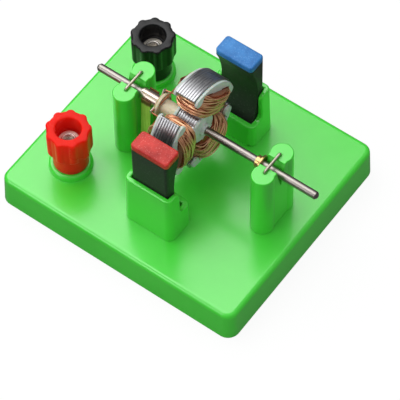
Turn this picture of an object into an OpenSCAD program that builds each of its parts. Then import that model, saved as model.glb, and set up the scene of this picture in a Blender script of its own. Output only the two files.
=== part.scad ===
// Demonstration electric motor: a moulded base that carries a three-pole rotor between two
// arc magnets, with two brushes and two screw terminals. Millimetres, +X along the shaft from
// the commutator to the free end, +Z up, origin at the middle of the footprint.

/* [Base] */
// Length of the base along the shaft
base_length = 110; // [108:1:130]
// Width of the base across the shaft
base_width = 96; // [92:1:120]
// Height of the base tray
base_height = 14.5; // [13:0.5:20]
// Radius of the upright corners at the floor
base_corner_r = 5; // [4.5:0.5:12]
// Slope of the base sides from upright, in degrees
base_draft = 3; // [1:0.5:4]
// Radius of the rounded top edge
base_edge_r = 2; // [1:0.5:3]
// Thickness of the base side walls
base_wall = 2.2; // [1.6:0.1:3]
// Thickness of the top skin
base_skin = 2.4; // [1.8:0.1:3.2]
// Thickness of the stiffening ribs under the skin
rib_thickness = 1.5; // [1:0.1:2]
// Depth of the stiffening ribs below the skin
rib_depth = 4; // [2:0.5:5]

/* [Shaft] */
// Diameter of the shaft
shaft_d = 3.2; // [3:0.1:4]
// Length of the shaft
shaft_length = 100.8; // [98:0.2:112]
// Place of the shaft's commutator end along the base
shaft_start_x = -41.2; // [-46:0.2:-38]
// Depth of the shaft's axis below the top of its supports
shaft_drop = 4; // [3.4:0.1:5]
// Chamfer at both ends of the shaft
shaft_chamfer = 0.8; // [0.2:0.1:0.9]
// Radial clearance of the shaft in its supports
shaft_clearance = 0.05; // [0.02:0.01:0.1]

/* [Supports] */
// Place of the commutator-side support along the base
left_support_x = -24.3; // [-26:0.1:-24.2]
// Place of the free-end support along the base
right_support_x = 39.3; // [38:0.1:44]
// Height of the supports above the top skin
support_height = 33.5; // [32:0.5:40]
// Distance between the two columns of a support
column_spacing = 12.2; // [11.8:0.2:14]
// Radius of the columns at the top
column_r = 4.4; // [4.3:0.1:4.9]
// Thickness of the web between the columns at the top
web_t = 7.7; // [7:0.1:7.8]
// Slope of the columns from upright, in degrees
column_draft = 0.6; // [0.3:0.1:0.7]
// Radius of the rounded top edges of the supports
support_edge_r = 0.4; // [0.2:0.1:0.6]
// Slope of each face of the shaft's notch from upright, in degrees
notch_angle = 12.3; // [11:0.1:14]
// Width of the notch at its floor
notch_floor_w = 0.5; // [0.3:0.1:0.8]
// Thickness of the walls around the hollow inside a support
support_wall = 1.9; // [1.6:0.1:2.2]

/* [Shaft clips] */
// Thickness of the clip wire
clip_wire_d = 1.2; // [0.9:0.05:1.3]
// Distance between the two legs of a clip
clip_span = 9.8; // [9:0.2:11]
// Length of the clip legs below the column tops
clip_leg = 6; // [4:0.5:8]
// Radial clearance of the clip legs in their holes
clip_clearance = 0.05; // [0.03:0.01:0.1]
// Radius inside the bends of a clip
clip_bend_r = 0.15; // [0.1:0.05:0.3]
// Depth that the leg holes go past the legs
clip_hole_spare = 1; // [0.5:0.5:2]

/* [Magnets] */
// Place of the magnets along the base
magnet_x = 5.5; // [3:0.5:7]
// Length of a magnet along the shaft
magnet_length = 16.8; // [14:0.2:19]
// Height of a magnet with its cap
magnet_height = 37.5; // [35:0.5:40]
// Thickness of a magnet at its top and bottom
magnet_edge_t = 8.2; // [7.6:0.1:8.8]
// Thickness of a magnet at mid height
magnet_mid_t = 3.9; // [3.4:0.1:4.4]
// Distance from the shaft's axis to a magnet's flat outer face
magnet_outer_y = 30.5; // [30.2:0.1:33]
// Height of a magnet's lower face above the top skin
magnet_seat = 9; // [7:0.5:10]
// Depth of the painted cap on a magnet
cap_depth = 2.8; // [1.5:0.1:4]
// Radius of the cap's rounded top edges
cap_edge_r = 0.8; // [0.4:0.1:1]
// Radius of the upright corners of a magnet and its cap
magnet_corner_r = 1.4; // [1:0.1:1.8]
// Clearance of a magnet in its holder
magnet_clearance = 0.15; // [0.1:0.05:0.25]

/* [Magnet holders] */
// Wall of a magnet holder at its rim
holder_wall = 2; // [1.6:0.1:2.6]
// Height of a holder's outer wall above the top skin
holder_outer_h = 25.5; // [24:0.5:28]
// Height of a holder's inner lip above the top skin
holder_lip_h = 11.8; // [11.5:0.1:13]
// Slope of the holder sides from upright, in degrees
holder_draft = 1.8; // [1:0.2:2.2]
// Radius of a holder's upright corners at the rim
holder_corner_r = 2.4; // [2:0.1:3]
// Radius of the two bends of a holder's stepped end walls
holder_step_r = 2.8; // [2:0.1:3]
// Thickness of the floor under a magnet
holder_floor = 2.4; // [2:0.1:3]

/* [Rotor] */
// Radius of the pole faces
rotor_r = 20.5; // [19:0.1:21]
// Length of the stack of laminations
stack_length = 8.4; // [7.2:0.6:9.6]
// Thickness of one lamination with its joint line
lamination_pitch = 1.05; // [0.7:0.05:1.4]
// Width of the joint line between two laminations
lamination_gap = 0.2; // [0.1:0.02:0.24]
// Depth of the joint line between two laminations
lamination_line = 0.15; // [0.1:0.05:0.3]
// Place of the stack's commutator-side face along the base
stack_start_x = -1.8; // [-3:0.1:-1]
// Angle that one pole face spans, in degrees
pole_arc = 91; // [84:1:98]
// Angle of the first pole from the +Y direction, in degrees
pole_angle = 54.7; // [50:0.1:60]
// Width of a pole's leg
leg_width = 7; // [6:0.2:8]
// Radius of the core's hub
core_hub_r = 5.6; // [5:0.1:6.2]
// Radial height of the flat underside of a pole shoe
shoe_seat_r = 16.3; // [16:0.1:16.8]
// Half width of the flat underside of a pole shoe
shoe_flat = 9.4; // [9:0.1:9.6]
// Radial thickness of a pole shoe at its tips
shoe_tip_t = 1.8; // [1.4:0.1:2.4]
// Thickness of an insulating end plate
end_plate_t = 1.2; // [0.8:0.1:1.6]
// Amount by which the end plates stay inside the pole faces
end_plate_inset = 0.6; // [0.2:0.1:0.8]
// Radius of the rounded tips of the end plates
end_plate_tip_r = 2.1; // [1.8:0.1:2.2]
// Angle from a pole's middle to the rounded tips of the end plates
end_plate_tip_angle = 40; // [39:0.5:41]
// Length of the sleeve on the outer end plate
end_sleeve_length = 1.6; // [1:0.2:2.4]
// Wall of the sleeve on the outer end plate
end_sleeve_wall = 0.9; // [0.6:0.1:1.2]

/* [Coils] */
// Thickness of the wound layers over the end plates at a coil's inner end
coil_overhang = 1.3; // [0.8:0.1:1.5]
// Thickness of the wound layers beside the leg at a coil's inner end
coil_side = 4.2; // [3.4:0.1:4.2]
// Angle by which a coil widens towards the pole shoe
coil_flare = 8; // [4:0.5:8]
// Radius of the coil's corners at its inner end
coil_corner_r = 2.6; // [2.2:0.1:3.2]
// Radial place of a coil's inner end
coil_start_r = 6.8; // [6.6:0.1:7.2]
// Diameter of the winding wire
wire_d = 0.5; // [0.4:0.02:0.52]
// Turns in the outer layer of a coil
wire_turns = 8; // [6:1:8]
// Clearance between the outer turns and the layers inside them
wire_clearance = 0.1; // [0.06:0.02:0.16]

/* [Commutator] */
// Diameter of the commutator
commutator_d = 5; // [4.8:0.1:5.4]
// Length of the commutator's segments
commutator_length = 7.6; // [7:0.1:8.2]
// Place of the commutator's outer end along the base
commutator_x = -20.1; // [-20.2:0.1:-19.8]
// Thickness of a segment
segment_t = 0.5; // [0.4:0.05:0.6]
// Width of the slots between segments
segment_slot = 0.5; // [0.4:0.1:0.8]
// Width of a segment's riser
riser_w = 2; // [1.6:0.1:2.4]
// Radius that the risers reach
riser_r = 6; // [5.8:0.1:6.6]
// Thickness of the risers
riser_t = 0.5; // [0.4:0.05:0.6]
// Thickness of the fibre washer behind the risers
fibre_washer_t = 0.6; // [0.4:0.1:0.8]
// Radius of the fibre washer
fibre_washer_r = 4.6; // [4.2:0.1:4.8]
// Radius of the commutator hub's flange
hub_flange_r = 4.9; // [4.6:0.1:5]
// Thickness of the commutator hub's flange
hub_flange_t = 1; // [0.8:0.1:1.4]
// Radius of the commutator hub behind its flange
hub_r = 3; // [2.6:0.1:3.4]

/* [Thrust collar] */
// Radius of the brass collar's flange
collar_flange_r = 3.5; // [3:0.1:4]
// Radius of the brass collar's sleeve
collar_r = 2.5; // [2.4:0.1:2.8]
// Length of the brass collar
collar_length = 2.9; // [2.6:0.1:4]
// Thickness of the brass collar's flange
collar_flange_t = 1; // [0.8:0.1:1.2]
// End play between the brass collar and its support
collar_play = 0.2; // [0.1:0.1:0.5]

/* [Brushes] */
// Thickness of the brush strip
brush_t = 0.3; // [0.2:0.05:0.4]
// Width of the brush strip
brush_w = 4.3; // [3.6:0.1:4.5]
// Place of the brush strip's outer edge along the base
brush_x = -18.9; // [-19:0.1:-18.5]
// Gap between a brush and the commutator
brush_gap = 0.05; // [0.03:0.01:0.1]
// Distance from the shaft's axis to a brush where it leaves the base
brush_foot_y = 4.6; // [4:0.1:5.2]
// Height of the flared brush tip above the shaft's axis
brush_tip_rise = 1.2; // [0.8:0.1:2.4]
// Outward lean of the flared brush tip
brush_tip_flare = 0.4; // [0.2:0.1:1]
// Radius of the bend between a brush and its foot
brush_bend = 1; // [0.8:0.1:1.4]
// Gap between a brush and its foot at the bend
brush_foot_gap = 0.05; // [0.03:0.01:0.1]
// Clearance around a brush in its slot
brush_slot_clearance = 0.4; // [0.3:0.1:0.5]

/* [Terminals] */
// Distance from a terminal to the end of the base
terminal_margin_x = 19.3; // [18:0.1:20]
// Distance from a terminal to the side of the base
terminal_margin_y = 21.4; // [18:0.1:21.6]
// Radius of the raised pad under a knob
pad_r = 8.6; // [8:0.1:9.4]
// Height of the raised pad above the top skin
pad_h = 2.9; // [2:0.1:3.6]
// Radius of the pad's rounded top edge
pad_edge_r = 1.4; // [0.8:0.1:1.6]
// Height of a knob
knob_height = 21.3; // [20:0.1:24]
// Height of the lobed upper part of a knob
knob_grip_h = 12.7; // [10:0.1:14]
// Radius at the tips of the knob's lobes
knob_tip_r = 8.9; // [8.5:0.1:9.5]
// Radius of a knob's round body between its lobes
knob_body_r = 8.1; // [7.4:0.1:8.2]
// Radius of one lobe
knob_lobe_r = 1.9; // [1.4:0.1:2.2]
// Number of lobes on a knob
knob_lobes = 9; // [7:1:10]
// Radius of a knob's skirt
knob_skirt_r = 6.9; // [6.4:0.1:7.1]
// Radius of the recess in the top of a knob
recess_r = 5; // [4.8:0.1:5.8]
// Depth of the recess in the top of a knob
recess_depth = 7.5; // [5:0.1:9]
// Width of the chamfer around the mouth of the recess
recess_chamfer = 0.5; // [0.3:0.1:0.8]
// Radius of the rounded top edges of the lobes
knob_crown_r = 0.8; // [0.5:0.1:1.2]
// Gap between a tightened knob and its pad
knob_seat_gap = 0.1; // [0.05:0.05:0.3]
// Diameter of the threaded socket post
post_d = 6; // [5.8:0.1:6.4]
// Height of the post above the floor of the recess
post_rise = 0.3; // [0.1:0.1:0.6]
// Diameter of the plug socket in the post
socket_d = 4.1; // [4:0.02:4.2]
// Depth of the plug socket
socket_depth = 19; // [12:0.5:20]
// Outer diameter of the threaded insert in a knob
insert_d = 8.2; // [7.8:0.1:8.6]
// Length of the threaded insert
insert_length = 9.5; // [6:0.5:11]
// Radial clearance of the threaded insert on its post and in its knob
insert_clearance = 0.05; // [0.03:0.01:0.1]
// Radius of the post's flange, sunk in the pad
post_flange_r = 5.4; // [5:0.1:5.8]
// Thickness of the post's flange
post_flange_t = 1.2; // [1:0.1:1.6]

/* [Fasteners] */
// Distance across the flats of a terminal nut
nut_flats = 10; // [9:0.5:11]
// Thickness of a terminal nut
nut_t = 3; // [2.4:0.1:3.4]
// Radius of a terminal washer
washer_r = 6; // [5.6:0.1:6.5]
// Thickness of a terminal washer
washer_t = 0.8; // [0.5:0.1:1]
// Length of post showing below its nut
post_tail = 0.6; // [0.3:0.1:1]
// Thickness of a contact strip under the base
strip_t = 0.5; // [0.3:0.1:0.8]
// Width of a contact strip under the base
strip_w = 6; // [5:0.2:7]
// Diameter of a brush screw's shank
screw_d = 2.9; // [2.5:0.1:3.2]
// Radius of a brush screw's head
screw_head_r = 2.7; // [2.4:0.1:3]
// Height of a brush screw's head
screw_head_h = 1.9; // [1.4:0.1:2.2]
// Length of a brush screw's shank above the contact strip
screw_length = 3.4; // [2.8:0.1:3.6]
// Width of the slot in a brush screw's head
screw_slot_w = 0.8; // [0.6:0.1:1]
// Depth of the mounting pads that hang below the skin
hanging_pad_h = 1.8; // [1:0.1:2.2]
// Radius of the pad that hangs under a brush screw
screw_pad_r = 3.6; // [3.4:0.1:4]
// Distance from a brush to its screw
screw_offset = 5.4; // [5:0.1:6]

/* [Hidden] */

$fn = 64;
front = -1;
back = 1;
over = 1;
edge_steps = 6;

// Heights
skin_z = base_height - base_skin;
support_top_z = base_height + support_height;
axis_z = support_top_z - shaft_drop;
pad_z = base_height + pad_h;
strip_z = skin_z - hanging_pad_h;

// Shaft
shaft_r = shaft_d / 2;
seat_r = shaft_r + shaft_clearance;
notch_depth = seat_r / sin(notch_angle) - notch_floor_w / 2 / tan(notch_angle);
shaft_end_x = shaft_start_x + shaft_length;
// The free end of the shaft reaches past the base, so the footprint's middle lies off the
// middle of the base by half that reach.
footprint_shift = max(0, shaft_end_x - base_length / 2) / 2;

// Magnets
magnet_z = base_height + magnet_seat;
magnet_body_h = magnet_height - cap_depth;
magnet_inner_y = magnet_outer_y - magnet_edge_t;
arc_sagitta = magnet_edge_t - magnet_mid_t;
arc_r = (pow(magnet_body_h / 2, 2) + pow(arc_sagitta, 2)) / (2 * arc_sagitta);

// Rotor
core_mid_x = stack_start_x + stack_length / 2;
plate_reach = stack_length / 2 + end_plate_t;
tip_angle = pole_arc / 2;
coil_foot_x = plate_reach + coil_overhang;
coil_foot_z = leg_width / 2 + coil_side;
wire_r = wire_d / 2;
turn_offset = (wire_clearance + wire_r) / cos(coil_flare);
tail_bend_r = wire_d;
turn_end_r = shoe_seat_r - wire_d - tail_bend_r;
turn_start_r = coil_start_r + 2 * wire_d;

// Commutator
commutator_r = commutator_d / 2;
segment_inner_r = commutator_r - segment_t;
riser_x = commutator_x + commutator_length;
fibre_x = riser_x + riser_t;
flange_x = fibre_x + fibre_washer_t;
lead_r = (riser_r + hub_flange_r + wire_r) / 2;

// Brushes
brush_contact_y = commutator_r + brush_gap + brush_t / 2;
brush_mid_x = brush_x + brush_w / 2;
screw_y = brush_foot_y + screw_offset;

// Terminals
terminal_x = -base_length / 2 + terminal_margin_x;
terminal_y = base_width / 2 - terminal_margin_y;
insert_r = insert_d / 2;
post_r = post_d / 2;
socket_r = socket_d / 2;
knob_z = pad_z + knob_seat_gap;
recess_z = knob_z + knob_height - recess_depth;
post_top_z = recess_z + post_rise;
washer_z = strip_z - strip_t;
nut_z = washer_z - washer_t - nut_t;
post_bottom_z = nut_z - post_tail;

// ---- Shared shapes -------------------------------------------------------------------------

// Upright profile of a drafted edge: how far the wall stands out from the corner's axis.
function edge_profile(r, height, draft, edge_r, sink) =
    let (top_r = r - height * tan(draft))
    concat(
        [[0, -sink], [r, -sink], [r, 0]],
        edge_r > 0
            ? [for (i = [0:edge_steps]) let (a = 90 * i / edge_steps)
                [top_r + edge_r * tan(draft) - edge_r + edge_r * cos(a),
                 height - edge_r + edge_r * sin(a)]]
            : [[top_r, height]],
        [[0, height]]
    );

// The same profile on both sides of a flat stretch, as a closed outline.
function slab_outline(profile, reach) = concat(
    [for (p = profile) if (p[0] > 0) [reach + p[0], p[1]]],
    [for (i = [len(profile) - 1:-1:0]) if (profile[i][0] > 0)
        [-reach - profile[i][0], profile[i][1]]]
);

// A block with drafted sides, round upright corners and a rounded top edge. Half sizes and
// corner radius are those at its foot; sink carries the foot straight down below zero.
module drafted_block(half_x, half_y, r, height, draft, edge_r, sink) {
    profile = edge_profile(r, height, draft, edge_r, sink);
    cx = half_x - r;
    cy = half_y - r;
    rotate([90, 0, 0])
        linear_extrude(2 * cy, center = true)
            polygon(slab_outline(profile, cx));
    if (cx > 0)
        rotate([90, 0, 90])
            linear_extrude(2 * cx, center = true)
                polygon(slab_outline(profile, cy));
    for (sx = cx > 0 ? [-1, 1] : [1], sy = [-1, 1])
        translate([sx * cx, sy * cy, 0])
            rotate_extrude()
                polygon(profile);
}

// A cylinder along +X, starting at x.
module rod_x(x, length, r) {
    translate([x, 0, 0])
        rotate([0, 90, 0])
            cylinder(h = length, r = r);
}

// Extrudes an outline drawn in the Y-Z plane along +X, starting at x.
module profile_x(x, length) {
    translate([x, 0, 0])
        rotate([90, 0, 90])
            linear_extrude(length)
                children();
}

// Turns its children from the first pole to the given one, about the shaft.
module at_pole(number) {
    rotate([pole_angle + 120 * (number - 1), 0, 0])
        children();
}

module on_axis() {
    translate([-footprint_shift, 0, axis_z])
        children();
}

module on_base() {
    translate([-footprint_shift, 0, 0])
        children();
}

module at_terminal(side) {
    translate([terminal_x - footprint_shift, side * terminal_y, 0])
        children();
}

// A closed tube along a path, with six sides. frames holds, for each ring, its centre and
// the two unit directions across the tube.
module tube(frames, r, sides) {
    rings = len(frames);
    points = [for (f = frames, k = [0:sides - 1])
        f[0] + r * cos(360 * k / sides) * f[1] + r * sin(360 * k / sides) * f[2]];
    skin = [for (i = [0:rings - 2], k = [0:sides - 1])
        let (a = i * sides + k, b = i * sides + (k + 1) % sides)
        each [[a, a + sides, b], [b, a + sides, b + sides]]];
    start_cap = [for (k = [1:sides - 2]) [0, k, k + 1]];
    last = (rings - 1) * sides;
    end_cap = [for (k = [1:sides - 2]) [last, last + k + 1, last + k]];
    polyhedron(points = points, faces = concat(skin, start_cap, end_cap), convexity = 10);
}

function unit(v) = v / norm(v);

// Ring frames along a path: the second direction stays as near as it can to the one before.
function path_frames(path, across) =
    [for (
        i = 0, d = unit(path[1] - path[0]), u = unit(across - (across * d) * d);
        i < len(path);
        i = i + 1,
        d = i < len(path) ? path_direction(path, i) : d,
        u = unit(u - (u * d) * d)
    ) [path[i], u, cross(d, u)]];

function path_direction(path, i) =
    i == 0 ? unit(path[1] - path[0])
    : i == len(path) - 1 ? unit(path[i] - path[i - 1])
    : unit(unit(path[i + 1] - path[i]) + unit(path[i] - path[i - 1]));

// ---- Base ----------------------------------------------------------------------------------

holder_half_x = magnet_length / 2 + magnet_clearance + holder_wall;
holder_half_y = (magnet_edge_t + 2 * magnet_clearance) / 2 + holder_wall;
holder_y = magnet_outer_y - magnet_edge_t / 2;
holder_spread = holder_outer_h * tan(holder_draft);

column_spread = support_height * tan(column_draft);
column_foot_r = column_r + column_spread;

// A web between two round columns.
module support_body(x) {
    column = edge_profile(column_foot_r, support_height, column_draft, support_edge_r, 0);
    web = edge_profile(web_t / 2 + column_spread, support_height, column_draft, support_edge_r, 0);
    translate([x, 0, base_height]) {
        for (side = [front, back])
            translate([0, side * column_spacing / 2, 0])
                rotate_extrude()
                    polygon(column);
        rotate([90, 0, 0])
            linear_extrude(column_spacing, center = true)
                polygon(slab_outline(web, 0));
    }
}

module support_hollow(x) {
    hollow_r = column_r - support_wall;
    hollow_h = axis_z - notch_depth - 2 * support_wall;
    hollow_foot_r = hollow_r + hollow_h * tan(column_draft);
    translate([x, 0, 0])
        drafted_block(
            hollow_foot_r, column_spacing / 2 + hollow_foot_r, hollow_foot_r,
            hollow_h, column_draft, 0, over
        );
}

// The V-shaped notch that the shaft drops into. Its faces pass the shaft at the running
// clearance.
module shaft_notch(x) {
    top_z = shaft_drop + over;
    top_y = seat_r / cos(notch_angle) + top_z * tan(notch_angle);
    floor_y = notch_floor_w / 2;
    translate([0, 0, axis_z])
        profile_x(x - column_foot_r - over, 2 * (column_foot_r + over))
            polygon([
                [-top_y, top_z], [-floor_y, -notch_depth],
                [floor_y, -notch_depth], [top_y, top_z]
            ]);
}

module clip_holes(x) {
    depth = clip_leg + clip_hole_spare;
    for (side = [front, back])
        translate([x, side * clip_span / 2, support_top_z - depth])
            cylinder(h = depth + over, r = clip_wire_d / 2 + clip_clearance);
}

// Everything above a holder's stepped rim: level over the inner lip, then up an S-shaped
// step to the outer wall.
module holder_step_cut() {
    lip_z = base_height + holder_lip_h;
    rim_z = base_height + holder_outer_h;
    step_y = holder_y - holder_half_y + holder_wall + magnet_edge_t / 2;
    r = holder_step_r;
    low_bend = [for (i = [0:edge_steps]) let (a = 90 * i / edge_steps)
        [step_y - r + r * sin(a), lip_z + r - r * cos(a)]];
    high_bend = [for (i = [0:edge_steps]) let (a = 90 * i / edge_steps)
        [step_y + r - r * cos(a), rim_z - r + r * sin(a)]];
    far_y = holder_y + 2 * holder_half_y;
    far_z = rim_z + holder_outer_h;
    outline = concat(
        [[0, lip_z]], low_bend, high_bend, [[far_y, rim_z], [far_y, far_z], [0, far_z]]
    );
    half = holder_half_x + holder_spread + over;
    profile_x(magnet_x - half, 2 * half)
        polygon(outline);
}

module holder_body() {
    translate([magnet_x, holder_y, base_height])
        drafted_block(
            holder_half_x + holder_spread, holder_half_y + holder_spread,
            holder_corner_r + holder_spread, holder_outer_h, holder_draft, 0, 0
        );
}

module holder_pocket() {
    width = magnet_length + 2 * magnet_clearance;
    depth = magnet_edge_t + 2 * magnet_clearance;
    translate([magnet_x - width / 2, holder_y - depth / 2, magnet_z])
        cube([width, depth, magnet_height]);
}

module holder_hollow() {
    height = magnet_z - holder_floor;
    spread = height * tan(holder_draft);
    r = holder_corner_r - holder_wall / 2;
    translate([magnet_x, holder_y, 0])
        drafted_block(
            holder_half_x - holder_wall + spread, holder_half_y - holder_wall + spread,
            r + spread, height, holder_draft, 0, over
        );
}

module terminal_pad() {
    profile = edge_profile(pad_r, pad_h, base_draft, pad_edge_r, over);
    translate([terminal_x, terminal_y, base_height])
        rotate_extrude()
            polygon(profile);
}

module terminal_pad_holes() {
    translate([terminal_x, terminal_y, 0]) {
        cylinder(h = pad_z + over, r = post_r + insert_clearance);
        translate([0, 0, pad_z - post_flange_t])
            cylinder(h = post_flange_t + over, r = post_flange_r + insert_clearance);
    }
}

module hanging_pads() {
    translate([terminal_x, terminal_y, strip_z])
        cylinder(h = hanging_pad_h + over, r = washer_r);
    translate([brush_mid_x, screw_y, strip_z + brush_t])
        cylinder(h = hanging_pad_h - brush_t + over, r = screw_pad_r);
}

module brush_slot() {
    c = brush_slot_clearance;
    y = brush_centre_y(base_height);
    translate([brush_x - c, y - brush_t / 2 - c, strip_z])
        cube([brush_w + 2 * c, brush_t + 2 * c, base_height]);
}

module screw_hole() {
    translate([brush_mid_x, screw_y, 0])
        cylinder(h = washer_z + strip_t + screw_length, r = screw_d / 2);
}

// One rib along the base and two across it, clear of the contact strips and the hollows.
module ribs() {
    inner_x = base_length / 2 - base_wall;
    inner_y = base_width / 2 - base_wall;
    z = skin_z - rib_depth;
    brush_end_x = brush_mid_x + screw_pad_r;
    support_face_x = right_support_x - column_foot_r;
    rib_xs = [
        (brush_end_x + magnet_x - holder_half_x) / 2,
        (magnet_x + holder_half_x + support_face_x) / 2
    ];
    for (x = rib_xs)
        translate([x - rib_thickness / 2, -inner_y, z])
            cube([rib_thickness, 2 * inner_y, rib_depth + over]);
    translate([-inner_x, -rib_thickness / 2, z])
        cube([2 * inner_x, rib_thickness, rib_depth + over]);
}

// The open tray with its pads. The supports and the magnet holders stand on its top skin and
// are one moulding with it; their hollows open through the skin.
module base() {
    color("#54c83f")
    on_base()
        difference() {
            union() {
                difference() {
                    drafted_block(
                        base_length / 2, base_width / 2, base_corner_r,
                        base_height, base_draft, base_edge_r, 0
                    );
                    drafted_block(
                        base_length / 2 - base_wall, base_width / 2 - base_wall,
                        base_corner_r - base_wall, skin_z, base_draft, 0, over
                    );
                }
                ribs();
                for (side = [0, 1])
                    mirror([0, side, 0]) {
                        terminal_pad();
                        hanging_pads();
                    }
            }
            support_hollow(left_support_x);
            support_hollow(right_support_x);
            for (side = [0, 1])
                mirror([0, side, 0]) {
                    holder_hollow();
                    terminal_pad_holes();
                    brush_slot();
                    screw_hole();
                }
        }
}

module support(x) {
    color("#54c83f")
    on_base()
        difference() {
            support_body(x);
            support_hollow(x);
            shaft_notch(x);
            clip_holes(x);
        }
}

module magnet_holder(side) {
    color("#54c83f")
    mirror([0, side == front ? 1 : 0, 0])
        on_base()
            difference() {
                holder_body();
                holder_step_cut();
                holder_pocket();
                holder_hollow();
            }
}

module left_support() { support(left_support_x); }
module right_support() { support(right_support_x); }
module front_magnet_holder() { magnet_holder(front); }
module back_magnet_holder() { magnet_holder(back); }

// ---- Magnets -------------------------------------------------------------------------------

// Outline of a magnet below its cap, in the Y-Z plane: flat outside, hollow inside.
module magnet_outline() {
    difference() {
        translate([magnet_inner_y, magnet_z])
            square([magnet_edge_t, magnet_body_h]);
        translate([magnet_inner_y + arc_sagitta - arc_r, magnet_z + magnet_body_h / 2])
            circle(r = arc_r, $fn = 128);
    }
}

// Upright bar with rounded corners, as large as a magnet, between two heights above its foot.
module magnet_bar(low, height, edge_r) {
    translate([magnet_x, holder_y, magnet_z + low])
        drafted_block(
            magnet_length / 2, magnet_edge_t / 2, magnet_corner_r,
            height, 0, edge_r, 0
        );
}

module magnet(side) {
    mirror([0, side == front ? 1 : 0, 0])
        on_base()
            intersection() {
                magnet_bar(0, magnet_body_h, 0);
                profile_x(magnet_x - magnet_length / 2, magnet_length)
                    magnet_outline();
            }
}

module magnet_cap(side) {
    mirror([0, side == front ? 1 : 0, 0])
        on_base()
            magnet_bar(magnet_body_h, cap_depth, cap_edge_r);
}

module front_magnet() { color("#2b332d") magnet(front); }
module back_magnet() { color("#2b332d") magnet(back); }
module front_magnet_cap() { color("#d3352f") magnet_cap(front); }
module back_magnet_cap() { color("#3f7fc8") magnet_cap(back); }

// ---- Shaft clips ---------------------------------------------------------------------------

// A wire staple: two legs in the column tops and a bridge over the shaft.
module shaft_clip(x) {
    r = clip_wire_d / 2;
    bend = r + clip_bend_r;
    color("#d8d2bd")
    translate([x - footprint_shift, 0, support_top_z]) {
        for (side = [0, 1])
            mirror([0, side, 0]) {
                translate([0, clip_span / 2, -clip_leg])
                    cylinder(h = clip_leg, r = r, $fn = 32);
                translate([0, clip_span / 2 - bend, 0])
                    rotate([90, 0, 90])
                        rotate_extrude(angle = 90, $fn = 48)
                            translate([bend, 0])
                                circle(r = r, $fn = 32);
            }
        translate([0, clip_span / 2 - bend, bend])
            rotate([90, 0, 0])
                cylinder(h = clip_span - 2 * bend, r = r, $fn = 32);
    }
}

module left_shaft_clip() { shaft_clip(left_support_x); }
module right_shaft_clip() { shaft_clip(right_support_x); }

// ---- Shaft and collar ----------------------------------------------------------------------

module shaft() {
    color("#cfcac4")
    on_axis()
        translate([shaft_start_x, 0, 0])
            rotate([0, 90, 0])
                rotate_extrude()
                    polygon([
                        [0, 0], [shaft_r - shaft_chamfer, 0], [shaft_r, shaft_chamfer],
                        [shaft_r, shaft_length - shaft_chamfer],
                        [shaft_r - shaft_chamfer, shaft_length], [0, shaft_length]
                    ]);
}

module thrust_collar() {
    web_face_x = right_support_x - web_t / 2 - shaft_drop * tan(column_draft);
    end_x = web_face_x - collar_play;
    color("#c9a04a")
    on_axis()
        difference() {
            union() {
                rod_x(end_x - collar_length, collar_length, collar_r);
                rod_x(end_x - collar_flange_t, collar_flange_t, collar_flange_r);
            }
            rod_x(end_x - collar_length - over, collar_length + 2 * over, shaft_r);
        }
}

// ---- Rotor core ----------------------------------------------------------------------------

// One pole in the plane of a lamination, pointing along its own +X. Its joint lines lie
// inside the full outline by inset.
module pole_outline(inset) {
    tip = tip_angle - inset * 3;
    tip_r = rotor_r - shoe_tip_t;
    cut_r = 2 * rotor_r;
    intersection() {
        circle(r = rotor_r - inset, $fn = 128);
        polygon([
            [shoe_seat_r, -shoe_flat], [tip_r * cos(tip), -tip_r * sin(tip)],
            [cut_r * cos(tip), -cut_r * sin(tip)], [cut_r + rotor_r, 0],
            [cut_r * cos(tip), cut_r * sin(tip)],
            [tip_r * cos(tip), tip_r * sin(tip)], [shoe_seat_r, shoe_flat]
        ]);
    }
    pole_leg();
}

module pole_leg() {
    translate([0, -leg_width / 2])
        square([shoe_seat_r + over, leg_width]);
}

module at_each_pole() {
    for (number = [1:3])
        rotate(pole_angle + 120 * (number - 1))
            children();
}

module core_outline(inset) {
    difference() {
        union() {
            circle(r = core_hub_r - inset);
            at_each_pole()
                pole_outline(inset);
        }
        circle(r = shaft_r);
    }
}

// Thin stampings with a fine line between each and the next.
module rotor_core() {
    sheets = round(stack_length / lamination_pitch);
    pitch = stack_length / sheets;
    color("#8f9496")
    on_axis() {
        for (i = [0:sheets - 1])
            profile_x(stack_start_x + i * pitch, pitch - (i < sheets - 1 ? lamination_gap : 0))
                core_outline(0);
        for (i = [1:sheets - 1])
            profile_x(stack_start_x + i * pitch - lamination_gap, lamination_gap)
                core_outline(lamination_line);
    }
}

// Insulating plate: a hub, three legs and three arched cheeks with rounded tips.
module end_plate(x) {
    face_r = rotor_r - end_plate_inset;
    tip_r = face_r - end_plate_tip_r + 0.05;
    inner_r = tip_r - 0.8 * end_plate_tip_r;
    cut_r = 2 * rotor_r;
    a = end_plate_tip_angle;
    color("#c4d1c8")
    on_axis()
        difference() {
            profile_x(x, end_plate_t)
                union() {
                    circle(r = core_hub_r + end_plate_inset);
                    at_each_pole() {
                        pole_leg();
                        intersection() {
                            circle(r = face_r, $fn = 128);
                            polygon([
                                [shoe_seat_r, -shoe_flat], [inner_r * cos(a), -inner_r * sin(a)],
                                [cut_r * cos(a), -cut_r * sin(a)], [cut_r + rotor_r, 0],
                                [cut_r * cos(a), cut_r * sin(a)],
                                [inner_r * cos(a), inner_r * sin(a)], [shoe_seat_r, shoe_flat]
                            ]);
                        }
                        for (side = [-1, 1])
                            rotate(side * a)
                                translate([tip_r, 0])
                                    circle(r = end_plate_tip_r);
                    }
                }
            rod_x(x - over, end_plate_t + 2 * over, shaft_r);
        }
}

module inner_end_plate() { end_plate(stack_start_x - end_plate_t); }

module outer_end_plate() {
    x = stack_start_x + stack_length;
    end_plate(x);
    color("#c4d1c8")
    on_axis()
        difference() {
            rod_x(x, end_plate_t + end_sleeve_length, shaft_r + end_sleeve_wall);
            rod_x(x - over, end_plate_t + end_sleeve_length + 2 * over, shaft_r);
        }
}

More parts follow.
